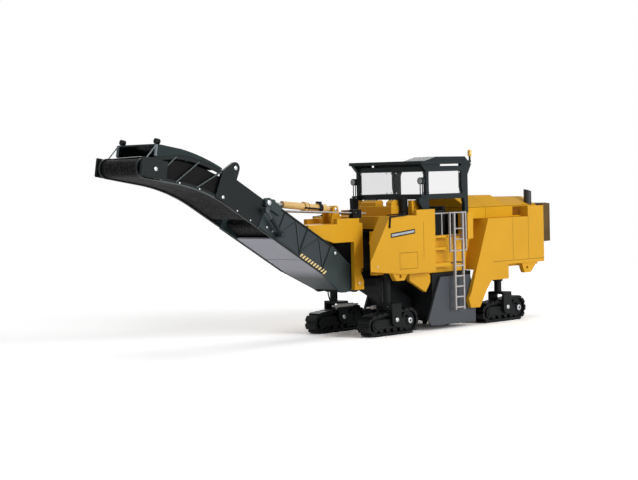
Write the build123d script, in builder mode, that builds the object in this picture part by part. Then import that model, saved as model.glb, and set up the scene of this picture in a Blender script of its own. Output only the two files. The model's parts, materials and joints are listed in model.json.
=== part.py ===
"""A 1:50 scale model of a crawler cold planer with a folding discharge conveyor.

Millimetres. +X points forward, +Y to the machine's left and +Z up. The origin is on the floor
under the middle of the whole model. Stations along the machine are given from the swivel pin of
the front crawlers, so every side view below is drawn on a plane whose origin is under that pin.
"""

import os
from math import atan2, cos, degrees, hypot, pi, radians, sin

from build123d import *

os.makedirs("parts", exist_ok=True)

# ---------------------------------------------------------------- driving dimensions
# Clearances
fit = 0.05  # radial play of a pin in its bore
gap = 0.3  # room beside a part that moves
seat = 0.1  # room between two parts that stand next to each other
bite = 0.5  # how far one form of a part sinks into the next one

# Body widths, half of each
body_half = 25.0
inner_half = 20.5
bay_half = 20.0
frame_half = 14.0
cheek_inner = 18.4
hood_top_half = 11.0

# Levels
frame_bottom = 28.0
frame_top = 34.0
floor_level = 44.0
deck_level = 57.0
deck_underside = 50.6
cheek_low = 29.2
cheek_nose_low = 31.6
rear_low = 29.6
rear_arch = 22.2
panel_top = 53.6
corner_top = 59.0
hood_edge = 59.5
hood_top = 65.2
hood_step = 1.3

# Stations
bulkhead_front = -3.0
bulkhead_depth = 5.0
deck_front = -2.0
deck_rear = -13.0
cheek_nose = 20.5
cheek_step = 5.0
wing_front = 10.5
wing_inner = 15.5
front_body_rear = -26.7
platform_rear = -56.0
rear_front = -57.0
rear_face = -115.0
corner_front = -101.5
panel_front = -68.3
slant_inner = 16.4
hood_step_x = -88.5
radiator_depth = 7.0
radiator_half = 22.0
radiator_low = 40.0
radiator_high = 60.0
exhaust_x = -110.3
exhaust_y = 18.3
exhaust_radius = 2.05
exhaust_bend = 64.8
exhaust_mouth = (-107.8, 67.0)
exhaust_wall = 0.4
exhaust_hollow = 0.7
lug_bore_radius = 0.8
lug_inset = 1.0
lug_thickness = 2.5
front_lug_bore = (-1.5, 28.1)
rear_lug_bore = (-101.5, 27.0)

# Crawlers
wheelbase = 86.2
sleeve_room = 0.85
shoe_width = 7.2
track_thickness = 1.5
grouser_height = 0.8
shoe_count = 21
shoe_gap = 0.9
sprocket_radius = 6.3
idler_radius = 5.2
sprocket_back = 10.9
idler_ahead = 13.6
swivel_ahead = 1.6
pin_level = 7.4
pin_radius = 0.9
crawler_frame_width = 5.2
roller_radius = 1.5
roller_count = 4
web_half = 1.2
hub_radius = 2.6
hub_proud = 0.25
yoke_thickness = 1.2
yoke_length = 6.6
yoke_top = 15.2
leg_radius = 1.9
leg_insert = 7.0
sleeve_wall = 0.7
sleeve_drop = 1.5
hose_radius = 0.35
steering_radius = 0.9
steering_level = 13.3
steering_reach = 9.0
steering_barrel_half = 5.4

# Milling drum and its housing
drum_x = -43.0
drum_level = 11.4
drum_radius = 8.6
tool_height = 1.8
tool_slices = 9
tool_columns = 8
tool_twist = 18.0
drum_half = 19.5
drum_shaft_radius = 2.0
housing_wall = 1.2
housing_front = -28.0
housing_rear = -58.0
housing_low = 4.5
housing_half = 21.2
plate_thickness = 1.2
plate_low = 2.2
plate_top = 26.0
boot_thickness = 2.0

# Slewing bracket
slew_x = 3.5
slew_pin_radius = 1.2
knuckle_radius = 3.0
knuckle_height = 3.0
lower_knuckle = 30.0
upper_knuckle = 43.5
arm_outer = 11.0
arm_thickness = 2.4
arm_front = 16.6
arm_rear = 12.6
arm_bottom = 22.4
heel_length = 2.4
beam_front = 47.4
beam_low = 45.4
beam_high = 54.2
beam_nose_low = 50.6
bracket_top = 56.5
bracket_top_front = 28.0

# Discharge conveyor: runs are measured along its rails from the lift axis, rises across them
lift_x = 13.5
lift_level = 25.5
slope = 29.5
lift_pin_radius = 1.2
conveyor_half = 13.0
foot_half = 8.2
foot_run = 9.0
taper_end = 26.0
wall_thickness = 1.2
wall_below = 8.1
wall_above = 6.5
foot_round = 4.4
lower_end = 71.0
belly_start = 9.0
belly_end = 62.0
belly_thickness = 0.8
belt_skin = 0.7
belt_edge_gap = 0.6
lower_belt_start = 0.6
lower_belt_end = 71.0
lower_belt_low = -6.4
lower_belt_high = -1.4
fold_run = 73.4
fold_rise = 4.5
fold_pin_radius = 0.9
fold_ear_radius = 2.2
fold_ear_thickness = 1.0
bend_run = 93.0
bend_radius = 90.0
bend_angle = 20.0
upper_start = 76.0
upper_above = 4.7
rail_height = 1.6
ear_from_bend = 1.5
ear_length = 8.0
ear_rise = 11.5
ear_tip_radius = 2.6
straight_length = 13.6
bay_count = 3
bar_width = 0.7
head_above = 1.7
head_length = 5.0
head_low = 0.7
head_radius = 4.4
upper_belt_start = 77.5
upper_belt_low = -7.6
upper_belt_high = 0.2
head_shaft_radius = 1.0
cover_gap = 0.5
cover_low_height = 0.9
cover_top = 7.3
cover_thickness = 0.8
cross_bar_radius = 0.7
cross_bar_inset = 3.5

# Lift and fold cylinders, tie rods
lug_x = 20.5
lug_level = 61.0
clevis_run = 61.7
clevis_rise = 10.5
middle_bar_run = 48.0
eye_radius = 1.8
eye_half = 2.0
eye_pin_radius = 0.8
ear_plate_thickness = 1.0
cross_bar_drop = 2.0
lift_barrel_radius = 1.7
lift_barrel_length = 33.0
barrel_neck_wall = 0.5
lift_rod_radius = 0.8
tie_rod_radius = 0.35
tie_y = 9.0
tie_anchor_run = 68.0
tie_anchor_rise = 3.5
tie_eye_x = 14.0
tie_eye_level = 59.0
tie_rod_length = 65.0
fold_lug_run = 61.3
fold_lug_rise = -5.4
fold_eye_run = 74.7
fold_eye_rise = 0.0
fold_barrel_radius = 1.0
fold_barrel_length = 9.0
fold_rod_radius = 0.5
fold_eye_radius = 1.3
fold_eye_half = 1.15
fold_cylinder_y = 15.6
fold_sill = 1.6

# Canopy
post_x = (-23.8, -53.8)
post_y = 22.2
post_size = 2.0
window_low = 67.0
window_high = 78.0
window_rail = 2.6
pane_thickness = 0.4
roof_front = -18.5
roof_rear = -56.0
roof_half = 24.0
roof_low = 81.6
roof_thickness = 1.6
raised_roof = 2.0
raised_front = -20.0
raised_inner = 9.0
beacon_radius = 1.0
beacon_height = 3.3
beacon_rounding = 0.8

# Ladders and rails
ladder_x = (-40.6, -47.1)
ladder_y = 25.6
ladder_low = 9.4
ladder_top = 57.8
rail_radius = 0.4
rung_count = 5

# ---------------------------------------------------------------- worked-out places
sleeve_bore = leg_radius + fit
sleeve_radius = sleeve_bore + sleeve_wall
crawler_y = frame_half + sleeve_room + sleeve_radius
bend_length = bend_radius * radians(bend_angle)
bend_end = bend_run + bend_length
ear_start = bend_run + ear_from_bend
ear_end = ear_start + ear_length
cover_start = ear_end + cover_gap
bay_end = bend_end + straight_length
head_run = bay_end + head_length
cross_bar_runs = (upper_start + cross_bar_inset, ear_end - cross_bar_inset, bend_end - cross_bar_inset)


def along(run, rise):
    """Conveyor plane point of a run along the rails and a rise above the lift axis line."""
    turned = min(max(run - bend_run, 0), bend_length) / bend_radius
    past = max(run - bend_end, 0)
    height = bend_radius + wall_below + rise
    ahead = min(run, bend_run) + height * sin(turned) + past * cos(turned)
    up = height * cos(turned) - bend_radius - wall_below - past * sin(turned)
    return (ahead, up)


def conveyor_place(run, rise):
    """Station and level of a conveyor point."""
    ahead, up = along(run, rise)
    x = lift_x + ahead * cos(radians(slope)) - up * sin(radians(slope))
    z = lift_level + ahead * sin(radians(slope)) + up * cos(radians(slope))
    return (x, z)


head_rise = head_radius - wall_below
fold_cylinder_outer = fold_cylinder_y + fold_eye_half
reach = conveyor_place(head_run, head_rise)[0] + head_radius
tail = radiator_depth - rear_face
pin_x = (tail - reach) / 2
swivels = {
    "front_left": (swivel_ahead, crawler_y),
    "front_right": (swivel_ahead, -crawler_y),
    "rear_left": (swivel_ahead - wheelbase, crawler_y),
    "rear_right": (swivel_ahead - wheelbase, -crawler_y),
}
sides = (1, -1)


def side_plane(y):
    """Side view plane at a distance from the middle; extruding from it goes to the right."""
    return Plane((pin_x, y, 0), x_dir=(1, 0, 0), z_dir=(0, -1, 0))


def level_plane(z):
    return Plane((pin_x, 0, z))


def station_plane(x):
    """Front view plane at a station; extruding from it goes forward."""
    return Plane((pin_x + x, 0, 0), x_dir=(0, 1, 0), z_dir=(1, 0, 0))


def conveyor_side(y):
    """Side view plane that lies along the conveyor's slope, on its lift axis."""
    tilt = radians(slope)
    return Plane((pin_x + lift_x, y, lift_level), x_dir=(cos(tilt), 0, sin(tilt)), z_dir=(0, -1, 0))


def conveyor_plan(rise):
    """Plan view plane that lies along the conveyor's slope, at a rise."""
    tilt = radians(slope)
    origin = (pin_x + lift_x - rise * sin(tilt), 0, lift_level + rise * cos(tilt))
    return Plane(origin, x_dir=(cos(tilt), 0, sin(tilt)), z_dir=(-sin(tilt), 0, cos(tilt)))


def save(piece, name):
    piece.part.label = name
    export_step(piece.part, f"parts/{name}.step")


def slab(points, y_one, y_other):
    """A side view polygon as a slab between two distances from the middle."""
    with BuildPart() as piece:
        with BuildSketch(side_plane(max(y_one, y_other))):
            with BuildLine():
                Polyline(*points, close=True)
            make_face()
        extrude(amount=abs(y_one - y_other))
    return piece.part


def rod(start, end, radius):
    """A round bar between two points."""
    path = Vector(end) - Vector(start)
    with BuildPart() as piece:
        with BuildSketch(Plane(start, z_dir=path)):
            Circle(radius)
        extrude(amount=path.length)
    return piece.part


def cross_bar(x, z, radius, y_from, y_to):
    """A round bar across the machine."""
    return rod((pin_x + x, y_from, z), (pin_x + x, y_to, z), radius)


def box(low, high):
    """A block between two corners, given from the swivel pin's station."""
    size = [top - bottom for bottom, top in zip(low, high)]
    with BuildPart() as piece:
        with BuildSketch(Plane((pin_x + (low[0] + high[0]) / 2, (low[1] + high[1]) / 2, low[2]))):
            Rectangle(size[0], size[1])
        extrude(amount=size[2])
    return piece.part


def side_box(side, low, high):
    """A block given by its left-hand corners, on either side of the machine."""
    low_y, high_y = sorted((side * low[1], side * high[1]))
    return box((low[0], low_y, low[2]), (high[0], high_y, high[2]))


# ---------------------------------------------------------------- crawlers
sprocket_level = sprocket_radius
idler_level = idler_radius
inner_sprocket = sprocket_radius - track_thickness
inner_idler = idler_radius - track_thickness


def loop_outline(rear_radius, front_radius, margin):
    """Outline round the sprocket and idler, as one face, from the swivel pin's station."""
    with BuildSketch() as outline:
        with Locations((-sprocket_back, sprocket_level)):
            Circle(rear_radius - margin)
        with Locations((idler_ahead, idler_level)):
            Circle(front_radius - margin)
        make_hull()
    return outline.sketch


def crawler_plane(x, y):
    return Plane((pin_x + x - swivel_ahead, y, 0), x_dir=(1, 0, 0), z_dir=(0, -1, 0))


def shoe_loop():
    """Track band with its shoes standing proud all the way round."""
    core = loop_outline(sprocket_radius, idler_radius, grouser_height)
    wire = core.faces()[0].outer_wire()
    pitch = wire.length / shoe_count
    with BuildSketch() as loop:
        add(core)
        for index in range(shoe_count):
            share = (index + 0.5) / shoe_count
            place = wire.position_at(share)
            heading = wire.tangent_at(share)
            turned = degrees(atan2(heading.Y, heading.X))
            with Locations(Location((place.X, place.Y, 0), (0, 0, turned))):
                Rectangle(pitch - shoe_gap, 2 * grouser_height)
        add(loop_outline(sprocket_radius, idler_radius, 0), mode=Mode.INTERSECT)
        add(loop_outline(inner_sprocket, inner_idler, 0), mode=Mode.SUBTRACT)
    return loop.sketch


def build_track(x, y):
    with BuildPart() as track:
        with BuildSketch(crawler_plane(x, y)):
            add(shoe_loop())
        extrude(amount=shoe_width / 2, both=True)
    return track


def build_crawler_frame(x, y):
    """Sprocket, idler, rollers and the beam that carries them, inside the track loop."""
    with BuildPart() as frame:
        with BuildSketch(crawler_plane(x, y)):
            with Locations((-sprocket_back, sprocket_level)):
                Circle(inner_sprocket - seat)
            with Locations((idler_ahead, idler_level)):
                Circle(inner_idler - seat)
            spacing = (idler_ahead + sprocket_back) / (roller_count + 1)
            roller_level = track_thickness + seat + roller_radius
            for index in range(roller_count):
                with Locations((spacing * (index + 1) - sprocket_back, roller_level)):
                    Circle(roller_radius)
        extrude(amount=crawler_frame_width / 2, both=True)
        with BuildSketch(crawler_plane(x, y)):
            with Locations(((idler_ahead - sprocket_back) / 2, (sprocket_level + idler_level) / 2)):
                Rectangle(idler_ahead + sprocket_back, pin_level - track_thickness - roller_radius)
        extrude(amount=shoe_width / 2, both=True)
        with BuildSketch(crawler_plane(x, y)):
            add(loop_outline(inner_sprocket, inner_idler, seat))
        extrude(amount=web_half, both=True)
        with BuildSketch(crawler_plane(x, y)):
            with Locations((-sprocket_back, sprocket_level), (idler_ahead, idler_level)):
                Circle(hub_radius)
        extrude(amount=shoe_width / 2 + hub_proud, both=True)
        with Locations(crawler_plane(x, y)):
            with Locations((0, pin_level)):
                Hole(pin_radius + fit)
    return frame


def leg_hose(x, y):
    """Hose that bows out ahead of a front leg, from its column down to the yoke."""
    ahead_up = [(leg_radius - hose_radius, 27.0), (4.6, 21.5), (2.6, yoke_top - hose_radius)]
    inward = y - leg_radius / 3 if y > 0 else y + leg_radius / 3
    with BuildPart() as hose:
        with BuildLine(Plane((pin_x + x, inward, 0), x_dir=(1, 0, 0), z_dir=(0, -1, 0))) as path:
            ThreePointArc(*ahead_up)
        with BuildSketch(Plane(path.line @ 0, z_dir=path.line % 0)):
            Circle(hose_radius)
        sweep()
    return hose.part


def build_leg(x, y):
    """Yoke over the track, the pin through the crawler, and the column that swivels in the body."""
    half = shoe_width / 2 + gap + yoke_thickness
    low = pin_level - yoke_length / 2
    column_top = sleeve_bottom(x) + leg_insert + sleeve_drop
    with BuildPart() as leg:
        with BuildSketch(crawler_plane(x, y)):
            with Locations((0, pin_level)):
                Circle(yoke_length / 2)
            with BuildLine():
                Polyline(
                    (-yoke_length / 2, pin_level),
                    (yoke_length / 2, pin_level),
                    (yoke_length / 2, yoke_top),
                    (-yoke_length / 2, yoke_top),
                    close=True,
                )
            make_face()
        extrude(amount=half, both=True)
        with BuildSketch(crawler_plane(x, y)):
            with Locations((0, (low + yoke_top - yoke_thickness) / 2 - 1)):
                Rectangle(yoke_length + 2, yoke_top - yoke_thickness - low + 2)
        extrude(amount=half - yoke_thickness, both=True, mode=Mode.SUBTRACT)
        with BuildSketch(crawler_plane(x, y)):
            with Locations((0, pin_level)):
                Circle(pin_radius)
        extrude(amount=half, both=True)
        with BuildSketch(Plane((pin_x + x, y, yoke_top))):
            Circle(leg_radius)
        extrude(amount=column_top - yoke_top)
        if x > 0:
            add(leg_hose(x, y))
    return leg


def sleeve_bottom(x):
    return cheek_low - sleeve_drop if x > 0 else rear_arch - sleeve_drop


def build_steering_cylinder(x, y):
    """Cylinder along the inner cheek of a front yoke, with the block that holds it."""
    side = 1 if y > 0 else -1
    yoke_face = abs(y) - shoe_width / 2 - gap - yoke_thickness
    middle = yoke_face - steering_radius - seat
    centre = x - swivel_ahead
    clamp = 2 * steering_radius
    with BuildPart() as cylinder:
        add(cross_rod(centre, side * middle, steering_radius, steering_barrel_half))
        add(cross_rod(centre, side * middle, steering_radius / 2, steering_reach))
        low = (centre - clamp, middle, steering_level - steering_radius)
        high = (centre + clamp, yoke_face, steering_level + steering_radius)
        add(side_box(side, low, high))
    return cylinder


def cross_rod(x, y, radius, half_length):
    """A round bar along the machine at the steering cylinders' level."""
    ends = [(pin_x + x + half, y, steering_level) for half in (-half_length, half_length)]
    return rod(*ends, radius)


for corner, (x, y) in swivels.items():
    save(build_track(x, y), f"track_{corner}")
    save(build_crawler_frame(x, y), f"crawler_frame_{corner}")
    save(build_leg(x, y), f"leg_{corner}")
    if x > 0:
        save(build_steering_cylinder(x, y), f"steering_cylinder_{corner}")

with BuildPart() as leg_sleeves:
    for x, y in swivels.values():
        with BuildSketch(Plane((pin_x + x, y, sleeve_bottom(x)))):
            Circle(sleeve_radius)
        extrude(amount=leg_insert + 2 * sleeve_drop)
        with BuildSketch(Plane((pin_x + x, y, sleeve_bottom(x)))):
            Circle(sleeve_bore)
        extrude(amount=leg_insert + sleeve_drop + fit, mode=Mode.SUBTRACT)
save(leg_sleeves, "leg_sleeves")


def sleeve_socket(corner):
    """The room that a leg sleeve takes in the body over it."""
    x, y = swivels[corner]
    low = sleeve_bottom(x)
    return rod((pin_x + x, y, low), (pin_x + x, y, low + leg_insert + 2 * sleeve_drop), sleeve_radius + fit)


# ---------------------------------------------------------------- chassis
pin_bottom = lower_knuckle - knuckle_height
pin_top = upper_knuckle + 2 * knuckle_height

with BuildPart() as chassis_frame:
    with BuildSketch(level_plane(frame_bottom)):
        with BuildLine():
            Polyline(
                (rear_face, -frame_half),
                (bulkhead_front, -frame_half),
                (bulkhead_front, frame_half),
                (rear_face, frame_half),
                close=True,
            )
        make_face()
    extrude(amount=frame_top - frame_bottom)
    with BuildSketch(level_plane(pin_bottom)):
        with Locations((bulkhead_front - bulkhead_depth / 2, 0)):
            Rectangle(bulkhead_depth, 2 * frame_half)
    extrude(amount=deck_underside - pin_bottom - seat)
    for knuckle in (pin_bottom, pin_top - knuckle_height):
        with BuildSketch(level_plane(knuckle)):
            with Locations((slew_x, 0)):
                Circle(knuckle_radius)
            with Locations(((slew_x + bulkhead_front) / 2, 0)):
                Rectangle(slew_x - bulkhead_front, 2 * knuckle_radius)
        extrude(amount=knuckle_height)
    with BuildSketch(level_plane(pin_bottom)):
        with Locations((slew_x, 0)):
            Circle(slew_pin_radius)
    extrude(amount=pin_top - pin_bottom)
save(chassis_frame, "chassis_frame")

# ---------------------------------------------------------------- front body
cheek_points = [
    (cheek_nose, cheek_nose_low),
    (cheek_nose, 36.0),
    (13.7, 46.3),
    (6.5, deck_level),
    (front_body_rear, deck_level),
    (front_body_rear, cheek_low),
    (-3.0, cheek_low - 0.2),
]
lug_points = [(4.0, 29.7), (1.5, 26.1), (-4.5, 26.1), (-7.0, 29.5), (-7.0, 31.0), (4.0, 31.0)]
brace_points = [
    (-12.2, cheek_low + bite),
    (-12.2, 25.3),
    (-24.1, 19.0),
    (-27.6, 23.8),
    (-27.6, 27.0),
    (front_body_rear, 27.9),
    (front_body_rear, cheek_low + bite),
]
brace_outer = 20.4
brace_width = 2.0

inner_points = [
    (cheek_step, cheek_low),
    (cheek_step, deck_level),
    (front_body_rear, deck_level),
    (front_body_rear, cheek_low),
]
side_inner = frame_half + seat
wing_low = (cheek_step - bite, wing_inner, cheek_low)
wing_high = (wing_front, cheek_inner, 50.0)
shelf_low = (bulkhead_front + seat, seat / 2, 43.2)
shelf_high = (bulkhead_front + 2.6, side_inner + bite, 44.6)
parapet_low = (front_body_rear, 23.4, deck_level - bite)
parapet_high = (-13.0, body_half, 59.6)
block_low = (-21.5, 17.5, deck_level - bite)
block_high = (-15.5, 20.0, 64.2)
block_bore = (-17.5, 60.5)
block_bore_radius = 0.6

for side, name in zip(sides, ("left", "right")):
    with BuildPart() as front_side:
        for low, high in ((wing_low, wing_high), (shelf_low, shelf_high), (parapet_low, parapet_high)):
            add(side_box(side, low, high))
        add(side_box(side, block_low, block_high))
        bore_ends = (side * (block_low[1] - bite), side * (block_high[1] + bite))
        bore = cross_bar(*block_bore, block_bore_radius, *bore_ends)
        add(bore, mode=Mode.SUBTRACT)
        add(slab(brace_points, side * brace_outer, side * (brace_outer - brace_width)))
        add(slab(cheek_points, side * body_half, side * cheek_inner))
        add(slab(inner_points, side * cheek_inner, side * side_inner))
        add(slab(lug_points, side * (body_half - lug_inset), side * (body_half - lug_inset - lug_thickness)))
        bore = cross_bar(*front_lug_bore, lug_bore_radius, side * body_half, side * (cheek_inner + bite))
        add(bore, mode=Mode.SUBTRACT)
        add(sleeve_socket(f"front_{name}"), mode=Mode.SUBTRACT)
    save(front_side, f"front_side_{name}")

bulkhead_rear = bulkhead_front - bulkhead_depth - seat
middle_points = [
    (bulkhead_rear, frame_top + seat),
    (bulkhead_rear, deck_underside),
    (deck_front, deck_underside),
    (deck_front, deck_level),
    (deck_rear, deck_level),
    (deck_rear, floor_level),
    (front_body_rear, floor_level),
    (front_body_rear, frame_top + seat),
]
with BuildPart() as front_body:
    add(slab(middle_points, frame_half, -frame_half))
save(front_body, "front_body")

# ---------------------------------------------------------------- operator platform
core_low = frame_bottom + seat
bay_length = front_body_rear - platform_rear
bay_middle = (front_body_rear + platform_rear) / 2
step_table = ((31.0, 2.0), (39.3, 1.4), (45.3, 1.2))  # level, thickness
step_front = -27.5
step_rear = -39.5
step_reach = 24.0
step_middle = (step_front + step_rear) / 2
pedestal_front = -51.5
pedestal_reach = post_y + post_size

with BuildPart() as platform:
    with BuildSketch(level_plane(core_low)):
        with Locations((bay_middle, 0)):
            Rectangle(bay_length - 2 * seat, 2 * bay_half)
            Rectangle(bay_length, 2 * (frame_half + seat), mode=Mode.SUBTRACT)
    extrude(amount=floor_level - core_low)
    with BuildSketch(level_plane(frame_top + seat)):
        with Locations((bay_middle, 0)):
            Rectangle(bay_length - 2 * seat, 2 * (frame_half + 2 * seat))
    extrude(amount=floor_level - frame_top - seat)
    for side in sides:
        for low, thickness in step_table:
            with BuildSketch(level_plane(low)):
                with Locations((step_middle, side * (bay_half - 2 * bite + step_reach) / 2)):
                    Rectangle(step_front - step_rear, step_reach - bay_half + 2 * bite)
            extrude(amount=thickness)
        with BuildSketch(level_plane(floor_level)):
            with Locations((bay_middle, side * (bay_half - bite))):
                Rectangle(bay_length - 2 * seat, 2 * bite)
        extrude(amount=step_table[2][0] + step_table[2][1] - floor_level)
        with BuildSketch(level_plane(floor_level)):
            with Locations(((pedestal_front + platform_rear) / 2, side * (bay_half + pedestal_reach) / 2)):
                Rectangle(pedestal_front - platform_rear - 2 * seat, pedestal_reach - bay_half + 4 * bite)
        extrude(amount=deck_level - floor_level)
save(platform, "platform")

grille_thickness = 0.8
grille_low = step_table[2][0] + step_table[2][1]
with BuildPart() as bay_grilles:
    for side in sides:
        with BuildSketch(level_plane(grille_low)):
            with Locations((step_middle, side * (bay_half - grille_thickness / 2))):
                Rectangle(step_front - step_rear, grille_thickness)
        extrude(amount=deck_level + 1.5 - grille_low)
save(bay_grilles, "bay_grilles")

console_low = (-13.0, -6.5, deck_level)
console_high = (-6.0, 15.0, 61.5)
hump_points = [
    (-7.0, console_high[2] - bite),
    (-7.0, 63.3),
    (-8.6, 64.5),
    (-11.5, 64.5),
    (-12.5, 63.6),
    (-12.5, console_high[2] - bite),
]
hump_table = ((-0.8, 5.0), (12.5, 1.8))  # middle, half width

with BuildPart() as console:
    add(box(console_low, console_high))
    for middle, half in hump_table:
        add(slab(hump_points, middle + half, middle - half))
save(console, "console")

lever_low = (-15.4, 15.2, deck_level)
lever_high = (-11.5, 17.4, 65.5)
lever_rod_y = 22.0
lever_rod_radius = 0.3
with BuildPart() as side_levers:
    for side in sides:
        add(side_box(side, lever_low, lever_high))
        y = side * lever_rod_y
        corners = [(-12.5, side * 16.5, 58.2), (-4.0, y, 57.9), (4.6, y, 57.6)]
        places = [(pin_x + x, across, z) for x, across, z in corners]
        for start, end in zip(places, places[1:]):
            add(rod(start, end, lever_rod_radius))
save(side_levers, "side_levers")

seat_x = -42.0
seat_y = 9.5
seat_half = 4.5
seat_points = [
    (4.5, 47.5),
    (4.5, 50.0),
    (-2.5, 50.0),
    (-4.0, 60.5),
    (-5.8, 60.5),
    (-5.0, 47.5),
    (-2.0, 47.5),
    (-2.0, floor_level),
    (2.0, floor_level),
    (2.0, 47.5),
]
with BuildPart() as seats:
    for side in sides:
        placed = [(seat_x + x, z) for x, z in seat_points]
        add(slab(placed, side * (seat_y + seat_half), side * (seat_y - seat_half)))
save(seats, "seats")

# ---------------------------------------------------------------- rear body
boot_points = [
    (panel_front, panel_top),
    (-53.8, 17.2),
    (-51.6, 13.9),
    (-53.4, 9.4),
    (-60.5, 9.2),
    (-66.5, 18.0),
    (-71.7, 23.5),
    (-71.7, panel_top),
]
slant_foot = -58.1
skirt_points = [
    (panel_front, panel_top),
    (slant_foot, core_low),
    (-61.5, core_low),
    (-61.5, 26.0),
    (-71.7, rear_arch),
    (-84.4, rear_arch),
    (-84.4, rear_low),
    (rear_face, rear_low),
    (rear_face, corner_top),
    (corner_front, corner_top),
    (corner_front, panel_top),
]
slant_points = [
    (panel_front, panel_top),
    (slant_foot, core_low),
    (rear_face, core_low),
    (rear_face, panel_top),
]
tow_points = [
    (-96.6, rear_low + bite),
    (-99.3, 24.4),
    (-104.5, 24.4),
    (-110.7, rear_low + bite),
]

with BuildPart() as rear_body:
    for side in sides:
        add(slab(boot_points, side * body_half, side * (body_half - boot_thickness)))
        add(slab(skirt_points, side * body_half, side * inner_half))
        add(slab(tow_points, side * (body_half - lug_inset), side * (body_half - lug_inset - lug_thickness)))
        bore = cross_bar(*rear_lug_bore, lug_bore_radius, side * body_half, side * (inner_half - bite))
        add(bore, mode=Mode.SUBTRACT)
        add(slab(slant_points, side * inner_half, side * slant_inner))
        core_corner = (rear_face, side_inner, core_low)
        add(side_box(side, core_corner, (rear_front, slant_inner, panel_top)))
        with BuildSketch(level_plane(rear_arch)):
            with Locations((swivels["rear_left"][0], side * (inner_half + frame_half + seat) / 2)):
                Rectangle(4 * sleeve_radius, inner_half - frame_half - seat)
        extrude(amount=core_low - rear_arch)
    with BuildSketch(level_plane(frame_top + seat)):
        with Locations(((rear_front + rear_face) / 2, 0)):
            Rectangle(rear_front - rear_face, 2 * (frame_half + 2 * seat))
    extrude(amount=panel_top - frame_top - seat)
    add([sleeve_socket("rear_left"), sleeve_socket("rear_right")], mode=Mode.SUBTRACT)
save(rear_body, "rear_body")

hood_rear_top = hood_top - hood_step
vent_low = (-101.5, inner_half - 3.0, 54.4)
vent_high = (-94.5, inner_half + bite, 58.8)
hood_ends = ((rear_face + seat, hood_step_x, hood_rear_top), (hood_step_x, rear_front, hood_top))
with BuildPart() as hood:
    for start, end, top in hood_ends:
        with BuildSketch(station_plane(start)):
            with BuildLine():
                Polyline(
                    (-inner_half, panel_top),
                    (inner_half, panel_top),
                    (inner_half, hood_edge),
                    (hood_top_half, top),
                    (-hood_top_half, top),
                    (-inner_half, hood_edge),
                    close=True,
                )
            make_face()
        extrude(amount=end - start)
    for side in sides:
        add(side_box(side, vent_low, vent_high), mode=Mode.SUBTRACT)
save(hood, "hood")

louvre_count = 9
louvre_depth = 0.6
with BuildPart() as radiator:
    with BuildSketch(station_plane(rear_face)):
        with Locations((0, (radiator_low + radiator_high) / 2)):
            Rectangle(2 * radiator_half, radiator_high - radiator_low)
    extrude(amount=-radiator_depth)
    with BuildSketch(station_plane(rear_face - radiator_depth)):
        with Locations((0, (radiator_low + radiator_high) / 2)):
            louvre_pitch = (radiator_high - radiator_low) / (louvre_count + 1)
            with GridLocations(0, louvre_pitch, 1, louvre_count):
                Rectangle(1.8 * radiator_half, louvre_pitch / 2)
    extrude(amount=louvre_depth, mode=Mode.SUBTRACT)
save(radiator, "radiator")

exhaust_foot = (pin_x + exhaust_x, exhaust_y, hood_edge - exhaust_radius)
exhaust_turn = (pin_x + exhaust_x, exhaust_y, exhaust_bend)
mouth = (pin_x + exhaust_mouth[0], exhaust_y, exhaust_mouth[1])
with BuildPart() as exhaust:
    add(rod(exhaust_foot, exhaust_turn, exhaust_radius))
    add(rod(exhaust_turn, mouth, exhaust_radius))
    with Locations(exhaust_turn):
        Sphere(exhaust_radius)
    inside = Vector(mouth) + (Vector(exhaust_turn) - Vector(mouth)) * exhaust_hollow
    add(rod(mouth, inside, exhaust_radius - exhaust_wall), mode=Mode.SUBTRACT)
    add(hood.part, mode=Mode.SUBTRACT)
save(exhaust, "exhaust")

# ---------------------------------------------------------------- milling drum
housing_points = [
    (housing_front, housing_low + 8.0),
    (housing_front - 4.0, housing_low),
    (housing_rear, housing_low),
    (housing_rear, frame_bottom - seat),
    (housing_front, frame_bottom - seat),
]
drum_room = drum_radius + tool_height + gap + 0.7

with BuildPart() as drum_housing:
    add(slab(housing_points, housing_half, -housing_half))
    with BuildSketch(side_plane(housing_half - housing_wall)):
        with Locations((drum_x, drum_level)):
            Circle(drum_room)
        with Locations((drum_x, drum_level / 2)):
            Rectangle(2 * drum_room, drum_level)
    extrude(amount=2 * (housing_half - housing_wall), mode=Mode.SUBTRACT)
    with BuildSketch(side_plane(housing_half)):
        with Locations((drum_x, drum_level)):
            Circle(drum_shaft_radius + fit)
    extrude(amount=2 * housing_half, mode=Mode.SUBTRACT)
save(drum_housing, "drum_housing")

with BuildPart() as milling_drum:
    with BuildSketch(side_plane(drum_half)):
        with Locations((drum_x, drum_level)):
            Circle(drum_radius)
    extrude(amount=2 * drum_half)
    slice_pitch = 2 * drum_half / tool_slices
    for index in range(tool_slices):
        with BuildSketch(side_plane(drum_half - (index + 0.25) * slice_pitch)):
            with Locations((drum_x, drum_level)):
                with PolarLocations(drum_radius, tool_columns, start_angle=tool_twist * index):
                    RegularPolygon(tool_height, 3)
        extrude(amount=slice_pitch / 2)
    with BuildSketch(side_plane(housing_half)):
        with Locations((drum_x, drum_level)):
            Circle(drum_shaft_radius)
    extrude(amount=2 * housing_half)
save(milling_drum, "milling_drum")

plate_outer = housing_half + seat + plate_thickness
plate_points = [
    (-23.5, 5.5),
    (-25.5, plate_low + 0.4),
    (-30.0, plate_low),
    (-60.0, plate_low),
    (-60.0, 14.0),
    (-56.0, plate_top),
    (-33.0, plate_top),
    (-29.0, 18.0),
]
for side, name in zip(sides, ("side_plate_left", "side_plate_right")):
    with BuildPart() as side_plate:
        add(slab(plate_points, side * plate_outer, side * (plate_outer - plate_thickness)))
    save(side_plate, name)

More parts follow.
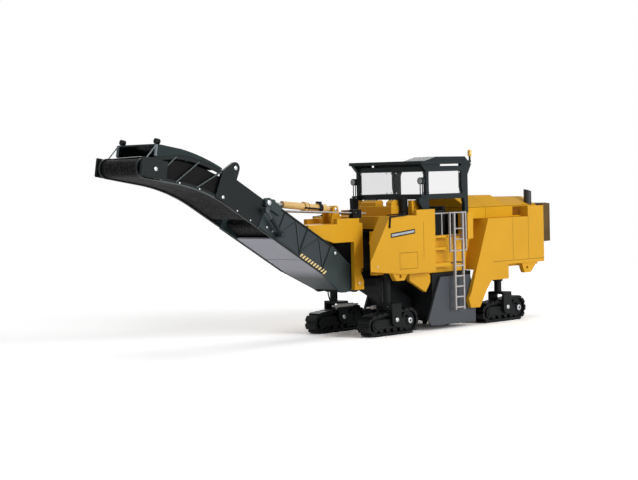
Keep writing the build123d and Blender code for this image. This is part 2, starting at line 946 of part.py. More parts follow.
feed_half = 8.0
feed_points = [(-27.5, 9.0), (-27.5, 15.0), (-9.0, 26.8), (-1.0, 26.8), (-1.0, 23.0)]
with BuildPart() as feed_conveyor:
    add(slab(feed_points, feed_half, -feed_half))
save(feed_conveyor, "feed_conveyor")

# ---------------------------------------------------------------- slewing bracket
arm_points = [
    (arm_rear, bracket_top),
    (bracket_top_front, bracket_top),
    (bracket_top_front, beam_high),
    (beam_front, beam_high),
    (beam_front, beam_nose_low),
    (beam_front - 17.0, beam_low),
    (arm_front, beam_low),
    (arm_front, arm_bottom),
    (arm_rear - heel_length, arm_bottom),
    (arm_rear - heel_length, arm_bottom + 4.0),
    (arm_rear, arm_bottom + 9.0),
]
beam_plate = 2.2
cross_plate_low = lower_knuckle + knuckle_height - 0.5
arm_inner = arm_outer - arm_thickness
knuckle_bore = slew_pin_radius + fit
tongue_levels = (lower_knuckle, upper_knuckle)
ear_plate_inner = eye_half + gap
ear_plate_outer = ear_plate_inner + ear_plate_thickness

with BuildPart() as slew_bracket:
    for side in sides:
        add(slab(arm_points, side * arm_outer, side * arm_inner))
    with BuildSketch(level_plane(beam_high - beam_plate)):
        with Locations(((arm_rear + beam_front) / 2, 0)):
            Rectangle(beam_front - arm_rear, 2 * arm_outer)
    extrude(amount=beam_plate)
    with BuildSketch(station_plane(beam_front)):
        with Locations((0, (beam_nose_low + beam_high) / 2)):
            Rectangle(2 * arm_outer, beam_high - beam_nose_low)
    extrude(amount=-beam_plate)
    with BuildSketch(station_plane(arm_rear)):
        with Locations((0, (cross_plate_low + beam_high) / 2)):
            Rectangle(2 * arm_outer, beam_high - cross_plate_low)
    extrude(amount=-beam_plate)
    for low in tongue_levels:
        with BuildSketch(level_plane(low)):
            with Locations((slew_x, 0)):
                Circle(knuckle_radius)
            with Locations(((slew_x + arm_rear) / 2, 0)):
                Rectangle(arm_rear - slew_x, 2 * knuckle_radius)
        extrude(amount=knuckle_height)
    with BuildSketch(level_plane(pin_bottom)):
        with Locations((slew_x, 0)):
            Circle(knuckle_bore)
    extrude(amount=pin_top - pin_bottom, mode=Mode.SUBTRACT)
    for side in sides:
        with BuildSketch(side_plane(max(side * ear_plate_inner, side * ear_plate_outer))):
            with Locations((lug_x, lug_level)):
                Circle(eye_radius)
            with BuildLine():
                Polyline(
                    (lug_x - eye_radius, lug_level),
                    (lug_x + eye_radius, lug_level),
                    (lug_x + 2 * eye_radius, beam_high),
                    (lug_x - 2 * eye_radius, beam_high),
                    close=True,
                )
            make_face()
        extrude(amount=ear_plate_thickness)
    add(cross_bar(lug_x, lug_level, eye_pin_radius, -ear_plate_outer, ear_plate_outer))
    for side in sides:
        lift_pin_end = side * (foot_half - wall_thickness)
        add(cross_bar(lift_x, lift_level, lift_pin_radius, side * (arm_inner + bite), lift_pin_end))
save(slew_bracket, "slew_bracket")

eye_low = (arm_rear, 7.5, bracket_top)
eye_high = (16.0, 10.5, bracket_top + 0.8)
eye_cheeks = ((7.5, 8.3), (9.7, 10.5))
cheek_front_x = 10.4
eye_top = 60.6
eye_bore_radius = 0.9
with BuildPart() as bracket_fittings:
    for side in sides:
        add(side_box(side, eye_low, eye_high))
        for inner, outer in eye_cheeks:
            add(side_box(side, (cheek_front_x, inner, bracket_top), (eye_high[0], outer, eye_top)))
        bore_ends = (side * (eye_low[1] - bite), side * (eye_high[1] + bite))
        bore = cross_bar((cheek_front_x + eye_high[0]) / 2, tie_eye_level, eye_bore_radius, *bore_ends)
        add(bore, mode=Mode.SUBTRACT)
save(bracket_fittings, "bracket_fittings")

# ---------------------------------------------------------------- conveyor outlines


def trace(stops):
    """Draws a line along the conveyor through (run, rise) stops, round its bend."""
    for (run_a, rise_a), (run_b, rise_b) in zip(stops, stops[1:]):
        middle = ((run_a + run_b) / 2, (rise_a + rise_b) / 2)
        if bend_run <= min(run_a, run_b) and max(run_a, run_b) <= bend_end:
            ThreePointArc(along(run_a, rise_a), along(*middle), along(run_b, rise_b))
        else:
            Line(along(run_a, rise_a), along(run_b, rise_b))


def with_bends(start, end):
    """Both ends of a stretch with a stop at each end of the bend that lies in it."""
    (run_a, rise_a), (run_b, rise_b) = start, end
    stops = [start]
    for run in (bend_run, bend_end):
        if run_a < run < run_b:
            stops.append((run, rise_a + (rise_b - rise_a) * (run - run_a) / (run_b - run_a)))
    return stops + [end]


def band(low_stops, high_stops):
    """Face between a low line and a high line along the conveyor."""
    with BuildSketch() as outline:
        with BuildLine():
            trace(low_stops)
            Line(along(*low_stops[-1]), along(*high_stops[-1]))
            trace(high_stops[::-1])
            Line(along(*high_stops[0]), along(*low_stops[0]))
        make_face()
    return outline.sketch


def strip(start, end, low, high):
    """Face of even height along the conveyor."""
    return band(with_bends((start, low), (end, low)), with_bends((start, high), (end, high)))


def plan_outline(end, inset):
    """Plan of the lower conveyor, narrow at its foot, as points from the right foot corner."""
    foot = foot_half - inset
    full = conveyor_half - inset
    right = [(-2 * foot_round - inset, -foot), (foot_run, -foot), (taper_end, -full), (end, -full)]
    return right + [(run, -half) for run, half in reversed(right)]


def plan_solid(points, low, high):
    """A plan outline as a solid between two rises."""
    with BuildPart() as piece:
        with BuildSketch(conveyor_plan(low)):
            with BuildLine():
                Polyline(*points, close=True)
            make_face()
        extrude(amount=high - low)
    return piece.part


def conveyor_slab(face, y_one, y_other):
    """A face on the conveyor's side view as a slab between two distances from the middle."""
    with BuildPart() as piece:
        with BuildSketch(conveyor_side(max(y_one, y_other))):
            add(face)
        extrude(amount=abs(y_one - y_other))
    return piece.part


def conveyor_bar(run, rise, radius, y_from, y_to):
    x, z = conveyor_place(run, rise)
    return cross_bar(x, z, radius, y_from, y_to)


def disc(run, rise, radius):
    with BuildSketch() as outline:
        with Locations(along(run, rise)):
            Circle(radius)
    return outline.sketch


# ---------------------------------------------------------------- lower conveyor
ear_outer = conveyor_half + seat + fold_ear_thickness
ear_foot_start = lower_end - 6.0
lower_bar_radius = 1.0
lower_cross_bars = (clevis_run, middle_bar_run)
panel_count = 5
panel_start = 27.5
panel_pitch = 7.2
panel_depth = 0.35
rib_width = 0.9


def panel_field(index):
    """Sunk field between two ribs of the lower wall, with a rib from corner to corner."""
    start = panel_start + index * panel_pitch
    end = start + panel_pitch - rib_width
    low, high = rail_height - wall_below, wall_above - rail_height
    from_rise, to_rise = (low, high) if index % 2 else (high, low)
    half = rib_width / 2
    corners = [
        (start - half, from_rise),
        (start + half, from_rise),
        (end + half, to_rise),
        (end - half, to_rise),
    ]
    with BuildSketch() as field:
        add(strip(start, end, low, high))
        with BuildLine():
            Polyline(*corners, close=True)
        make_face(mode=Mode.SUBTRACT)
    return field.sketch


with BuildPart() as lower_conveyor:
    add(plan_solid(plan_outline(lower_end, 0), -wall_below, wall_above))
    trough_plan = plan_outline(lower_end + bite, wall_thickness)
    add(plan_solid(trough_plan, -wall_below - bite, wall_above + bite), mode=Mode.SUBTRACT)
    with BuildSketch(conveyor_side(conveyor_half)) as side_shape:
        add(disc(0, 0, foot_round))
        with BuildLine():
            Polyline(
                (0, -foot_round),
                (6.0, -wall_below),
                (lower_end, -wall_below),
                (lower_end, wall_above),
                (4.0, wall_above),
                (0, foot_round),
                close=True,
            )
        make_face()
    extrude(amount=2 * conveyor_half, mode=Mode.INTERSECT)
    for side in sides:
        pin_bore = conveyor_bar(0, 0, lift_pin_radius + fit, side * foot_half * 1.5, side * foot_half / 2)
        add(pin_bore, mode=Mode.SUBTRACT)
        inner = side * (conveyor_half + seat)
        outer = side * ear_outer
        low = fold_rise - fold_ear_radius
        high = fold_rise + fold_ear_radius
        add(conveyor_slab(disc(fold_run, fold_rise, fold_ear_radius), outer, inner))
        add(conveyor_slab(strip(ear_foot_start, fold_run, low, high), outer, inner))
        root = side * (conveyor_half - bite)
        add(conveyor_slab(strip(ear_foot_start, lower_end - gap, low, high), outer, root))
        pin_end = side * (conveyor_half - wall_thickness)
        add(conveyor_bar(fold_run, fold_rise, fold_pin_radius, outer, pin_end))
        lug_end = side * (fold_cylinder_outer + seat)
        add(conveyor_bar(fold_lug_run, fold_lug_rise, eye_pin_radius, root, lug_end))
        wall = (side * conveyor_half, side * (conveyor_half - wall_thickness))
        add(conveyor_slab(strip(lower_end - bite, fold_run - seat, -wall_below, fold_sill), *wall))
        face = (side * conveyor_half, side * (conveyor_half - panel_depth))
        for index in range(panel_count):
            add(conveyor_slab(panel_field(index), *face), mode=Mode.SUBTRACT)
    for run in lower_cross_bars:
        ends = (conveyor_half - bite, bite - conveyor_half)
        add(conveyor_bar(run, wall_above - cross_bar_drop, lower_bar_radius, *ends))
    for side in sides:
        ends = (side * ear_plate_inner, side * ear_plate_outer)
        foot_low = wall_above - cross_bar_drop - lower_bar_radius
        foot = strip(clevis_run - eye_radius, clevis_run + eye_radius, foot_low, clevis_rise)
        add(conveyor_slab(foot, *ends))
        add(conveyor_slab(disc(clevis_run, clevis_rise, eye_radius), *ends))
save(lower_conveyor, "lower_conveyor")

with BuildPart() as belly_plates:
    inset = wall_thickness + seat
    full = conveyor_half - inset
    widening = (conveyor_half - foot_half) / (taper_end - foot_run)
    start_half = foot_half + widening * (belly_start - foot_run) - inset
    right = [(belly_start, -start_half), (taper_end, -full), (belly_end, -full)]
    left = [(run, -half) for run, half in reversed(right)]
    add(plan_solid(right + left, -wall_below, belly_thickness - wall_below))
save(belly_plates, "belly_plates")


def belt_loop(start, end, low, high):
    """Closed band of a belt between two end turns."""
    radius = (high - low) / 2
    middle = (high + low) / 2
    with BuildSketch() as loop:
        add(strip(start + radius, end - radius, low, high))
        add(disc(start + radius, middle, radius))
        add(disc(end - radius, middle, radius))
        add(strip(start + radius, end - radius, low + belt_skin, high - belt_skin), mode=Mode.SUBTRACT)
        add(disc(start + radius, middle, radius - belt_skin), mode=Mode.SUBTRACT)
        add(disc(end - radius, middle, radius - belt_skin), mode=Mode.SUBTRACT)
    return loop.sketch


belt_inset = wall_thickness + belt_edge_gap
with BuildPart() as lower_belt:
    add(plan_solid(plan_outline(lower_end + 1, belt_inset), -wall_below, wall_above))
    with BuildSketch(conveyor_side(conveyor_half)):
        add(belt_loop(lower_belt_start, lower_belt_end, lower_belt_low, lower_belt_high))
    extrude(amount=2 * conveyor_half, mode=Mode.INTERSECT)
save(lower_belt, "lower_belt")

anchor_x, anchor_z = conveyor_place(tie_anchor_run, tie_anchor_rise)
tie_length = hypot(anchor_x - tie_eye_x, anchor_z - tie_eye_level)
tie_end_x = anchor_x + (tie_eye_x - anchor_x) * tie_rod_length / tie_length
tie_end_z = anchor_z + (tie_eye_level - anchor_z) * tie_rod_length / tie_length
with BuildPart() as tie_rods:
    for side in sides:
        start = (pin_x + anchor_x, side * tie_y, anchor_z)
        add(rod(start, (pin_x + tie_end_x, side * tie_y, tie_end_z), tie_rod_radius))
        anchor_end = side * (conveyor_half - wall_thickness)
        add(cross_bar(anchor_x, anchor_z, 2 * tie_rod_radius, side * tie_y, anchor_end))
save(tie_rods, "tie_rods")

# ---------------------------------------------------------------- upper conveyor
bay_pitch = (bay_end - ear_end) / bay_count
bay_runs = [ear_end + index * bay_pitch for index in range(bay_count + 1)]


def upper_rise(run):
    """Height of the upper wall's top edge, which falls towards the head."""
    share = max(run - bend_end, 0) / (bay_end - bend_end)
    return upper_above + (head_above - upper_above) * min(share, 1)


def bay_window(start, end):
    """Opening between two posts and the rails."""
    low = rail_height - wall_below
    starts = (start, upper_rise(start) - rail_height)
    ends = (end, upper_rise(end) - rail_height)
    return band(with_bends((start, low), (end, low)), with_bends(starts, ends))


def diagonal(start, end):
    """Bar from the top of one post down to the foot of the next."""
    low = rail_height / 2 - wall_below
    high = upper_rise(start) - rail_height / 2
    half = bar_width / 2
    corners = [
        along(start - half, high),
        along(start + half, high),
        along(end + half, low),
        along(end - half, low),
    ]
    with BuildSketch() as bar:
        with BuildLine():
            Polyline(*corners, close=True)
        make_face()
    return bar.sketch


def ear_plate():
    """Upright plate that tapers to a round tip beside the cover's foot."""
    with BuildSketch() as plate:
        add(strip(ear_start, ear_end, 0, upper_above))
        add(disc(ear_start + ear_tip_radius, ear_rise - ear_tip_radius, ear_tip_radius))
        make_hull()
    return plate.sketch


plate_proud = 0.3
boss_radius = 2.8
boss_length = 1.4


def ear_cover():
    """Plate that carries the ear on down to the lower rail."""
    with BuildSketch() as plate:
        add(ear_plate())
        add(strip(ear_start, ear_end, 0.4 - wall_below, upper_above))
    return plate.sketch


with BuildPart() as upper_conveyor:
    for run in cross_bar_runs:
        ends = (conveyor_half - bite, bite - conveyor_half)
        add(conveyor_bar(run, upper_above - rail_height, cross_bar_radius, *ends))
    for side in sides:
        proud = (side * (conveyor_half + plate_proud), side * (conveyor_half - bite))
        add(conveyor_slab(ear_cover(), *proud))
        boss = (side * (conveyor_half + boss_length), side * (conveyor_half - bite))
        add(conveyor_slab(disc(head_run, head_rise, boss_radius), *boss))
        with BuildSketch(conveyor_side(max(side * conveyor_half, side * (conveyor_half - wall_thickness)))):
            low_stops = with_bends((upper_start, -wall_below), (head_run, -wall_below))
            high_stops = with_bends((upper_start, upper_above), (bend_end, upper_above))
            add(band(low_stops, high_stops + [(bay_end, head_above), (head_run, head_low)]))
            add(disc(head_run, head_rise, head_radius))
            add(disc(fold_run, fold_rise, fold_ear_radius))
            add(strip(fold_run, upper_start + 1.0, fold_rise - fold_ear_radius, upper_above))
            add(ear_plate())
            add(strip(fold_run + 0.4, upper_start + bite, -wall_below, fold_sill))
            for start, end in zip(bay_runs, bay_runs[1:]):
                add(bay_window(start, end), mode=Mode.SUBTRACT)
                add(diagonal(start + bar_width / 2, end - bar_width / 2))
            add(disc(head_run, head_rise, head_shaft_radius + fit), mode=Mode.SUBTRACT)
            add(disc(fold_run, fold_rise, fold_pin_radius + fit), mode=Mode.SUBTRACT)
        extrude(amount=wall_thickness)
        shaft_hole = side * (conveyor_half + boss_length + bite), side * (conveyor_half - 2 * bite)
        add(conveyor_bar(head_run, head_rise, head_shaft_radius + fit, *shaft_hole), mode=Mode.SUBTRACT)
save(upper_conveyor, "upper_conveyor")

skirt_top = 2.2
skirt_head_top = -0.3
skirt_start = fold_run + 4.5
skirt_thickness = 0.4
skirt_outer = conveyor_half - wall_thickness - seat
skirt_inner = skirt_outer - skirt_thickness
with BuildPart() as upper_skirts:
    low_stops = with_bends((skirt_start, seat - wall_below), (bay_end, seat - wall_below))
    high_stops = with_bends((skirt_start, skirt_top), (bend_end, skirt_top))
    skirt_face = band(low_stops, high_stops + [(bay_end, skirt_head_top)])
    for side in sides:
        add(conveyor_slab(skirt_face, side * skirt_outer, side * skirt_inner))
save(upper_skirts, "upper_skirts")

cover_inner = conveyor_half - wall_thickness
with BuildPart() as upper_cover:
    cover_low = upper_above + seat
    cover_face = band(
        [(cover_start, cover_low), (bend_end, cover_low), (bay_end, head_above + seat)],
        [(cover_start, cover_low + cover_low_height), (bend_end, cover_top), (bay_end, cover_top)],
    )
    add(conveyor_slab(cover_face, conveyor_half, -conveyor_half))
    hollow_start = cover_start + 2 * cover_thickness
    hollow_end = bay_end + 2 * cover_thickness
    hollow_top = cover_top - cover_thickness
    hollow_face = band(
        [(hollow_start, 0), (bend_end, 0), (hollow_end, 0)],
        [(hollow_start, cover_low + cover_low_height / 2), (bend_end, hollow_top), (hollow_end, hollow_top)],
    )
    add(conveyor_slab(hollow_face, cover_inner, -cover_inner), mode=Mode.SUBTRACT)
save(upper_cover, "upper_cover")

with BuildPart() as upper_belt:
    belt_half = conveyor_half - belt_inset
    belt_end = head_run + (upper_belt_high - upper_belt_low) / 2
    loop = belt_loop(upper_belt_start, belt_end, upper_belt_low, upper_belt_high)
    add(conveyor_slab(loop, belt_half, -belt_half))
save(upper_belt, "upper_belt")

with BuildPart() as head_roller:
    roller = (upper_belt_high - upper_belt_low) / 2 - belt_skin - seat
    add(conveyor_bar(head_run, (upper_belt_high + upper_belt_low) / 2, roller, belt_half, -belt_half))
    stub = conveyor_half + boss_length + bite
    add(conveyor_bar(head_run, head_rise, head_shaft_radius, stub, -stub))
save(head_roller, "head_roller")

lamp_run = bay_end - 1.2
head_lamp_radius = 1.2
head_lamp_y = 11.4
head_lamp_half = 1.0
with BuildPart() as head_lamps:
    for side in sides:
        rise = cover_top + seat + head_lamp_radius
        ends = [conveyor_place(lamp_run + half, rise) for half in (-head_lamp_half, head_lamp_half)]
        add(rod(*[(pin_x + x, side * head_lamp_y, z) for x, z in ends], head_lamp_radius))
save(head_lamps, "head_lamps")

# ---------------------------------------------------------------- cylinders


def local_rod(start, end, radius, y):
    return rod((pin_x + start[0], y, start[1]), (pin_x + end[0], y, end[1]), radius)


def toward(start, end, distance):
    length = hypot(end[0] - start[0], end[1] - start[1])
    share = distance / length
    return (start[0] + (end[0] - start[0]) * share, start[1] + (end[1] - start[1]) * share)


lug = (lug_x, lug_level)
clevis = conveyor_place(clevis_run, clevis_rise)
barrel_end = toward(lug, clevis, lift_barrel_length)
bore_start = toward(lug, clevis, 6.0)
collar_table = ((4.4, 10.0, 0.4), (17.0, 19.0, 0.6))  # start, end, proud of the barrel

with BuildPart() as lift_barrel:
    add(local_rod(lug, barrel_end, lift_rod_radius + fit + barrel_neck_wall, 0))
    add(local_rod(toward(lug, clevis, 2 * eye_radius), barrel_end, lift_barrel_radius, 0))
    add(cross_bar(*lug, eye_radius, -eye_half, eye_half))
    for start, end, proud in collar_table:
        ends = (toward(lug, clevis, start), toward(lug, clevis, end))
        add(local_rod(*ends, lift_barrel_radius + proud, 0))
    bore_end = toward(lug, clevis, lift_barrel_length + bite)
    add(local_rod(bore_start, bore_end, lift_rod_radius + fit, 0), mode=Mode.SUBTRACT)
    add(cross_bar(*lug, eye_pin_radius + fit, -2 * eye_half, 2 * eye_half), mode=Mode.SUBTRACT)
save(lift_barrel, "lift_barrel")

with BuildPart() as lift_rod:
    add(local_rod(toward(lug, clevis, 10.0), clevis, lift_rod_radius, 0))
    add(cross_bar(*clevis, eye_radius - 0.2, -eye_half, eye_half))
save(lift_rod, "lift_rod")

fold_lug = conveyor_place(fold_lug_run, fold_lug_rise)
fold_eye = conveyor_place(fold_eye_run, fold_eye_rise)
with BuildPart() as fold_barrels:
    for side in sides:
        y = side * fold_cylinder_y
        add(local_rod(fold_lug, toward(fold_lug, fold_eye, fold_barrel_length), fold_barrel_radius, y))
        add(cross_bar(*fold_lug, fold_eye_radius, y - fold_eye_half, y + fold_eye_half))
        bore_start = toward(fold_lug, fold_eye, fold_eye_radius + bite)
        bore_end = toward(fold_lug, fold_eye, fold_barrel_length + bite)
        add(local_rod(bore_start, bore_end, fold_rod_radius + fit, y), mode=Mode.SUBTRACT)
        eye_bore = cross_bar(*fold_lug, eye_pin_radius + fit, y - 2 * fold_eye_half, y + 2 * fold_eye_half)
        add(eye_bore, mode=Mode.SUBTRACT)
save(fold_barrels, "fold_barrels")

with BuildPart() as fold_rods:
    for side in sides:
        y = side * fold_cylinder_y
        add(local_rod(toward(fold_lug, fold_eye, fold_eye_radius + 2 * bite), fold_eye, fold_rod_radius, y))
        add(cross_bar(*fold_eye, fold_eye_radius, y - fold_eye_half, y + fold_eye_half))
save(fold_rods, "fold_rods")

# ---------------------------------------------------------------- canopy
front_post, rear_post = post_x
rail_half = post_y - post_size / 2


half_post = post_size / 2
rear_post_wide = -49.8
rear_post_points = [
    (rear_post - half_post, deck_level),
    (rear_post - half_post, roof_low),
    (rear_post_wide, roof_low),
    (rear_post_wide, 70.0),
    (rear_post + 1.8 * half_post, 62.0),
    (rear_post + 1.8 * half_post, deck_level),
]
rear_brace = [
    (rear_post, 76.0),
    (rear_post - half_post, 76.0),
    (roof_rear - 2.0, roof_low),
    (rear_post, roof_low),
]
foot_bracket = [
    (front_post, 58.3),
    (front_post + 2.8, 58.3),
    (front_post + 6.3, 63.0),
    (front_post + 6.3, 65.5),
    (front_post, 65.5),
]
roof_box_low = (-36.0, -12.5, 79.3)
roof_box_high = (-27.0, 13.5, roof_low)
filler_length = 9.0
with BuildPart() as canopy_frame:
    for side in sides:
        y = side * post_y
        low = (front_post - half_post, y - half_post, deck_level)
        add(box(low, (front_post + half_post, y + half_post, roof_low)))
        for points in (rear_post_points, rear_brace, foot_bracket):
            add(slab(points, y + half_post, y - half_post))
        low = (front_post - filler_length, y - half_post, window_high)
        add(box(low, (front_post, y + half_post, roof_low)))
    for low in (window_low - window_rail, window_high):
        low_corner = (front_post - half_post, -rail_half, low)
        add(box(low_corner, (front_post + half_post, rail_half, low + window_rail)))
        for side in sides:
            y = side * post_y
            add(box((rear_post, y - half_post, low), (front_post, y + half_post, low + window_rail)))
    rear_corner = (rear_post - half_post, -rail_half, window_high)
    add(box(rear_corner, (rear_post + half_post, rail_half, window_high + window_rail)))
    roof_beam_low = (roof_box_low[0], -rail_half, roof_box_low[2])
    add(box(roof_beam_low, (roof_box_low[0] + post_size, rail_half, roof_low)))
    add(box(roof_box_low, roof_box_high))
    for side in sides:
        y = side * post_y
        brace = [
            (front_post, window_high),
            (front_post + half_post, window_high),
            (roof_front - bite, roof_low),
            (front_post, roof_low),
        ]
        add(slab(brace, y + half_post, y - half_post))
save(canopy_frame, "canopy_frame")

with BuildPart() as windows:
    half_pane = pane_thickness / 2
    pane_low = window_low + seat
    pane_high = window_high - seat
    half_width = rail_half - seat
    front_corner = (front_post - half_pane, -half_width, pane_low)
    add(box(front_corner, (front_post + half_pane, half_width, pane_high)))
    for side in sides:
        y = side * post_y
        low = (rear_post_wide + seat, y - half_pane, pane_low)
        high = (front_post - half_post - seat, y + half_pane, pane_high)
        add(box(low, high))
save(windows, "windows")

beacon_x = roof_rear - 1.5
beacon_y = roof_half - 1.5
beacon_foot = roof_low + bite
beacon_low = 85.2
with BuildPart() as canopy_roof:
    add(box((roof_rear, -roof_half, roof_low), (roof_front, roof_half, roof_low + roof_thickness)))
    roof_top = roof_low + roof_thickness + raised_roof
    raised = [
        (roof_rear, roof_low + roof_thickness - bite),
        (roof_rear + 3.0, roof_top),
        (raised_front - 11.0, roof_top),
        (raised_front, roof_low + roof_thickness - bite),
    ]
    add(slab(raised, roof_half - 1.0, raised_inner))
    stem = (pin_x + beacon_x, beacon_y)
    add(rod((*stem, beacon_foot), (*stem, beacon_low), beacon_radius / 2))
    low = (beacon_x - beacon_radius / 2, beacon_y - beacon_radius / 2, roof_low + bite)
    add(box(low, (roof_rear + bite, beacon_y + beacon_radius / 2, roof_low + roof_thickness)))
save(canopy_roof, "canopy_roof")

with BuildPart() as beacon:
    with BuildSketch(Plane((*stem, beacon_low))):
        Circle(beacon_radius)
    extrude(amount=beacon_height)
    fillet(beacon.edges().sort_by(Axis.Z)[-1], beacon_rounding)
save(beacon, "beacon")

lamp_level = 73.5
lamp_radius = 1.7
lamp_ahead = 2.6
lamp_depth = 2.0
lamp_foot = foot_bracket[-1][1] + seat
lamp_foot_height = 0.9
stalk_spacing = 1.4
stalk_radius = 0.25
with BuildPart() as post_lamps:
    for side in sides:
        y = side * post_y
        x = front_post + half_post
        lamp_x = x + lamp_ahead
        low = (x + seat, y - 1.0, lamp_foot)
        add(box(low, (lamp_x + 2 * bite, y + 1.0, lamp_foot + lamp_foot_height)))
        for across in (-stalk_spacing / 2, stalk_spacing / 2):
            foot = (pin_x + lamp_x, y + across, lamp_foot)
            add(rod(foot, (pin_x + lamp_x, y + across, lamp_level), stalk_radius))
        lamp_ends = [(pin_x + lamp_x + half, y, lamp_level) for half in (-lamp_depth / 2, lamp_depth / 2)]
        add(rod(*lamp_ends, lamp_radius))
save(post_lamps, "post_lamps")

# ---------------------------------------------------------------- ladders and handrails
rung_low = ladder_low + 1.1
rung_pitch = 5.15
upper_rungs = (38.6, 44.2, 49.5, ladder_top - 0.4)
wing_rails = (-37.2, -49.4)
rung_radius = 0.8 * rail_radius
clamp_half = 0.5
for side, name in zip(sides, ("ladder_left", "ladder_right")):
    with BuildPart() as ladder:
        y = side * ladder_y
        for x in ladder_x:
            add(rod((pin_x + x, y, ladder_low), (pin_x + x, y, ladder_top), rail_radius))
        for x in wing_rails:
            add(rod((pin_x + x, y, upper_rungs[0] - rung_radius), (pin_x + x, y, ladder_top), rung_radius))
        for z in (upper_rungs[0], upper_rungs[-1]):
            ends = [(pin_x + x, y, z) for x in wing_rails]
            add(rod(*ends, rung_radius))
        for z in [rung_low + index * rung_pitch for index in range(rung_count)] + list(upper_rungs):
            add(rod((pin_x + ladder_x[1], y, z), (pin_x + ladder_x[0], y, z), rung_radius))
        for z in (rear_low + 3.0, grille_low - 0.6):
            low_y, high_y = sorted((side * (bay_half + seat / 2), y))
            for x in ladder_x:
                add(box((x - rail_radius, low_y, z - clamp_half), (x + rail_radius, high_y, z + clamp_half)))
    save(ladder, name)

handrail_top = ladder_top - 0.5
with BuildPart() as handrails:
    for side in sides:
        y = side * (step_reach - bite)
        for x in (step_front - bite, step_middle, step_rear + bite):
            add(rod((pin_x + x, y, grille_low), (pin_x + x, y, handrail_top), rung_radius))
        rail_ends = [(pin_x + x, y, handrail_top) for x in (step_front, step_rear)]
        add(rod(*rail_ends, rung_radius))
save(handrails, "handrails")
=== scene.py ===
# %% [markdown]
# # Dressing a scale model of a cold planer
# The object is a collector's model, 1:50, of a crawler machine that mills old asphalt off a road.
# The CAD frame already holds every form at its real size. What is missing is what the hand and the
# eye know: enamel with soft edges, moulded rubber, wire, rivet heads and printed stripes. Each cell
# adds one of them, and every piece rides on the CAD body that it belongs to. Sizes and places are
# written in millimetres, and MM turns them into the metres of the scene.

# %% Load the frame
import json
import math

import bmesh
import bpy
from mathutils import Matrix, Vector

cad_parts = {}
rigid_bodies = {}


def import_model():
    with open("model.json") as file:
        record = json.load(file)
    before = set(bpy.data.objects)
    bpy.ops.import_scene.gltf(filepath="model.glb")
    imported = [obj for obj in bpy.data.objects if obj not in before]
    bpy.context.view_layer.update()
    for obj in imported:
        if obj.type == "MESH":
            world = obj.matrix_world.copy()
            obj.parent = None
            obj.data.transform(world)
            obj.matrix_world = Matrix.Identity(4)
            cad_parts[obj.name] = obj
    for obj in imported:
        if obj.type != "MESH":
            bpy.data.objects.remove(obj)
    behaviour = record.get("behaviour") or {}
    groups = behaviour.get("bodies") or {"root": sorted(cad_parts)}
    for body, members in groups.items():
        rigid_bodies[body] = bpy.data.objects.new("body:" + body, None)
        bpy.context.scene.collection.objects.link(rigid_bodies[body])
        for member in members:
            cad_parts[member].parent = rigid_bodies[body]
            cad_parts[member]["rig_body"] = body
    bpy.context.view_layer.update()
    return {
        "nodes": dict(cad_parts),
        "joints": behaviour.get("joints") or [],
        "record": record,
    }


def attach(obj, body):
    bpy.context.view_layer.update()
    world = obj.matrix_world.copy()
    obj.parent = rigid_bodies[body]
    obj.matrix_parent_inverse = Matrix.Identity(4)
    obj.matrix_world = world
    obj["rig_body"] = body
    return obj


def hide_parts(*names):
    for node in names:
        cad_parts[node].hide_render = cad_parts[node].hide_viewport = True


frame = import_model()
nodes = frame["nodes"]
joints = {joint["name"]: joint for joint in frame["joints"]}
MM = 0.001
print("pieces from CAD:", len(nodes), "joints:", len(joints))

# %% [markdown]
# ## Where things are
# The machine was drawn from two lines: the swivel pin of the front crawlers, and the sloping line
# of the conveyor's rails. Small parts are easiest to place from the same two, so two functions turn
# a station and level, or a run and rise along the conveyor, into a place in metres. Both start from
# a joint of the frame, so they can't drift away from it.

# %% Places on the body and on the conveyor
pin_joint = Vector(joints["steer_front_left"]["pos_m"])
lift_joint = Vector(joints["conveyor_lift"]["pos_m"])
LEFT = Vector((0, 1, 0))
AHEAD = Vector((1, 0, 0))
UP = Vector((0, 0, 1))
SIDES = (1, -1)
SWIVEL_AHEAD = 1.6

SLOPE = math.radians(29.5)
SLOPE_AHEAD = Vector((math.cos(SLOPE), 0, math.sin(SLOPE)))
SLOPE_UP = Vector((-math.sin(SLOPE), 0, math.cos(SLOPE)))
SLOPE_TURN = Matrix.Rotation(-SLOPE, 4, "Y")

# The rails bend down over BEND_ANGLE. Runs are measured on a line inside the bend, and a rise of
# zero lies on the rails.
BEND_ANGLE = math.radians(20)
RUN_RADIUS = 90.0
RAIL_RADIUS = 98.1
BEND_RUN = 93.0
BEND_END = BEND_RUN + RUN_RADIUS * BEND_ANGLE
HEAD_SLOPE = SLOPE - BEND_ANGLE


def spot(x, y, z):
    """A place from a station ahead of the pin, a distance to the left and a level, in mm."""
    return Vector((pin_joint.x + (x - SWIVEL_AHEAD) * MM, y * MM, z * MM))


def conveyor_spot(run, y, rise):
    """A place from a run along the conveyor's rails and a rise across them, in mm."""
    turned = (min(max(run, BEND_RUN), BEND_END) - BEND_RUN) / RUN_RADIUS
    past = max(run - BEND_END, 0)
    radius = RAIL_RADIUS + rise
    ahead = min(run, BEND_RUN) + radius * math.sin(turned) + past * math.cos(turned)
    up = radius * math.cos(turned) - RAIL_RADIUS - past * math.sin(turned)
    x = ahead * math.cos(SLOPE) - up * math.sin(SLOPE)
    z = ahead * math.sin(SLOPE) + up * math.cos(SLOPE)
    return lift_joint + Vector((x * MM, y * MM, z * MM))


print("swivel pin:", pin_joint, "lift pin:", lift_joint)

# %% [markdown]
# ## Shader sums written as Python
# A material that varies over a surface is mostly arithmetic on a few noise patterns. Adding Math
# nodes by hand hides that arithmetic, so a small class wraps a socket and overloads the operators.
# `1 - mask * 0.5` then reads as it would on paper, and each operator adds the node for it.

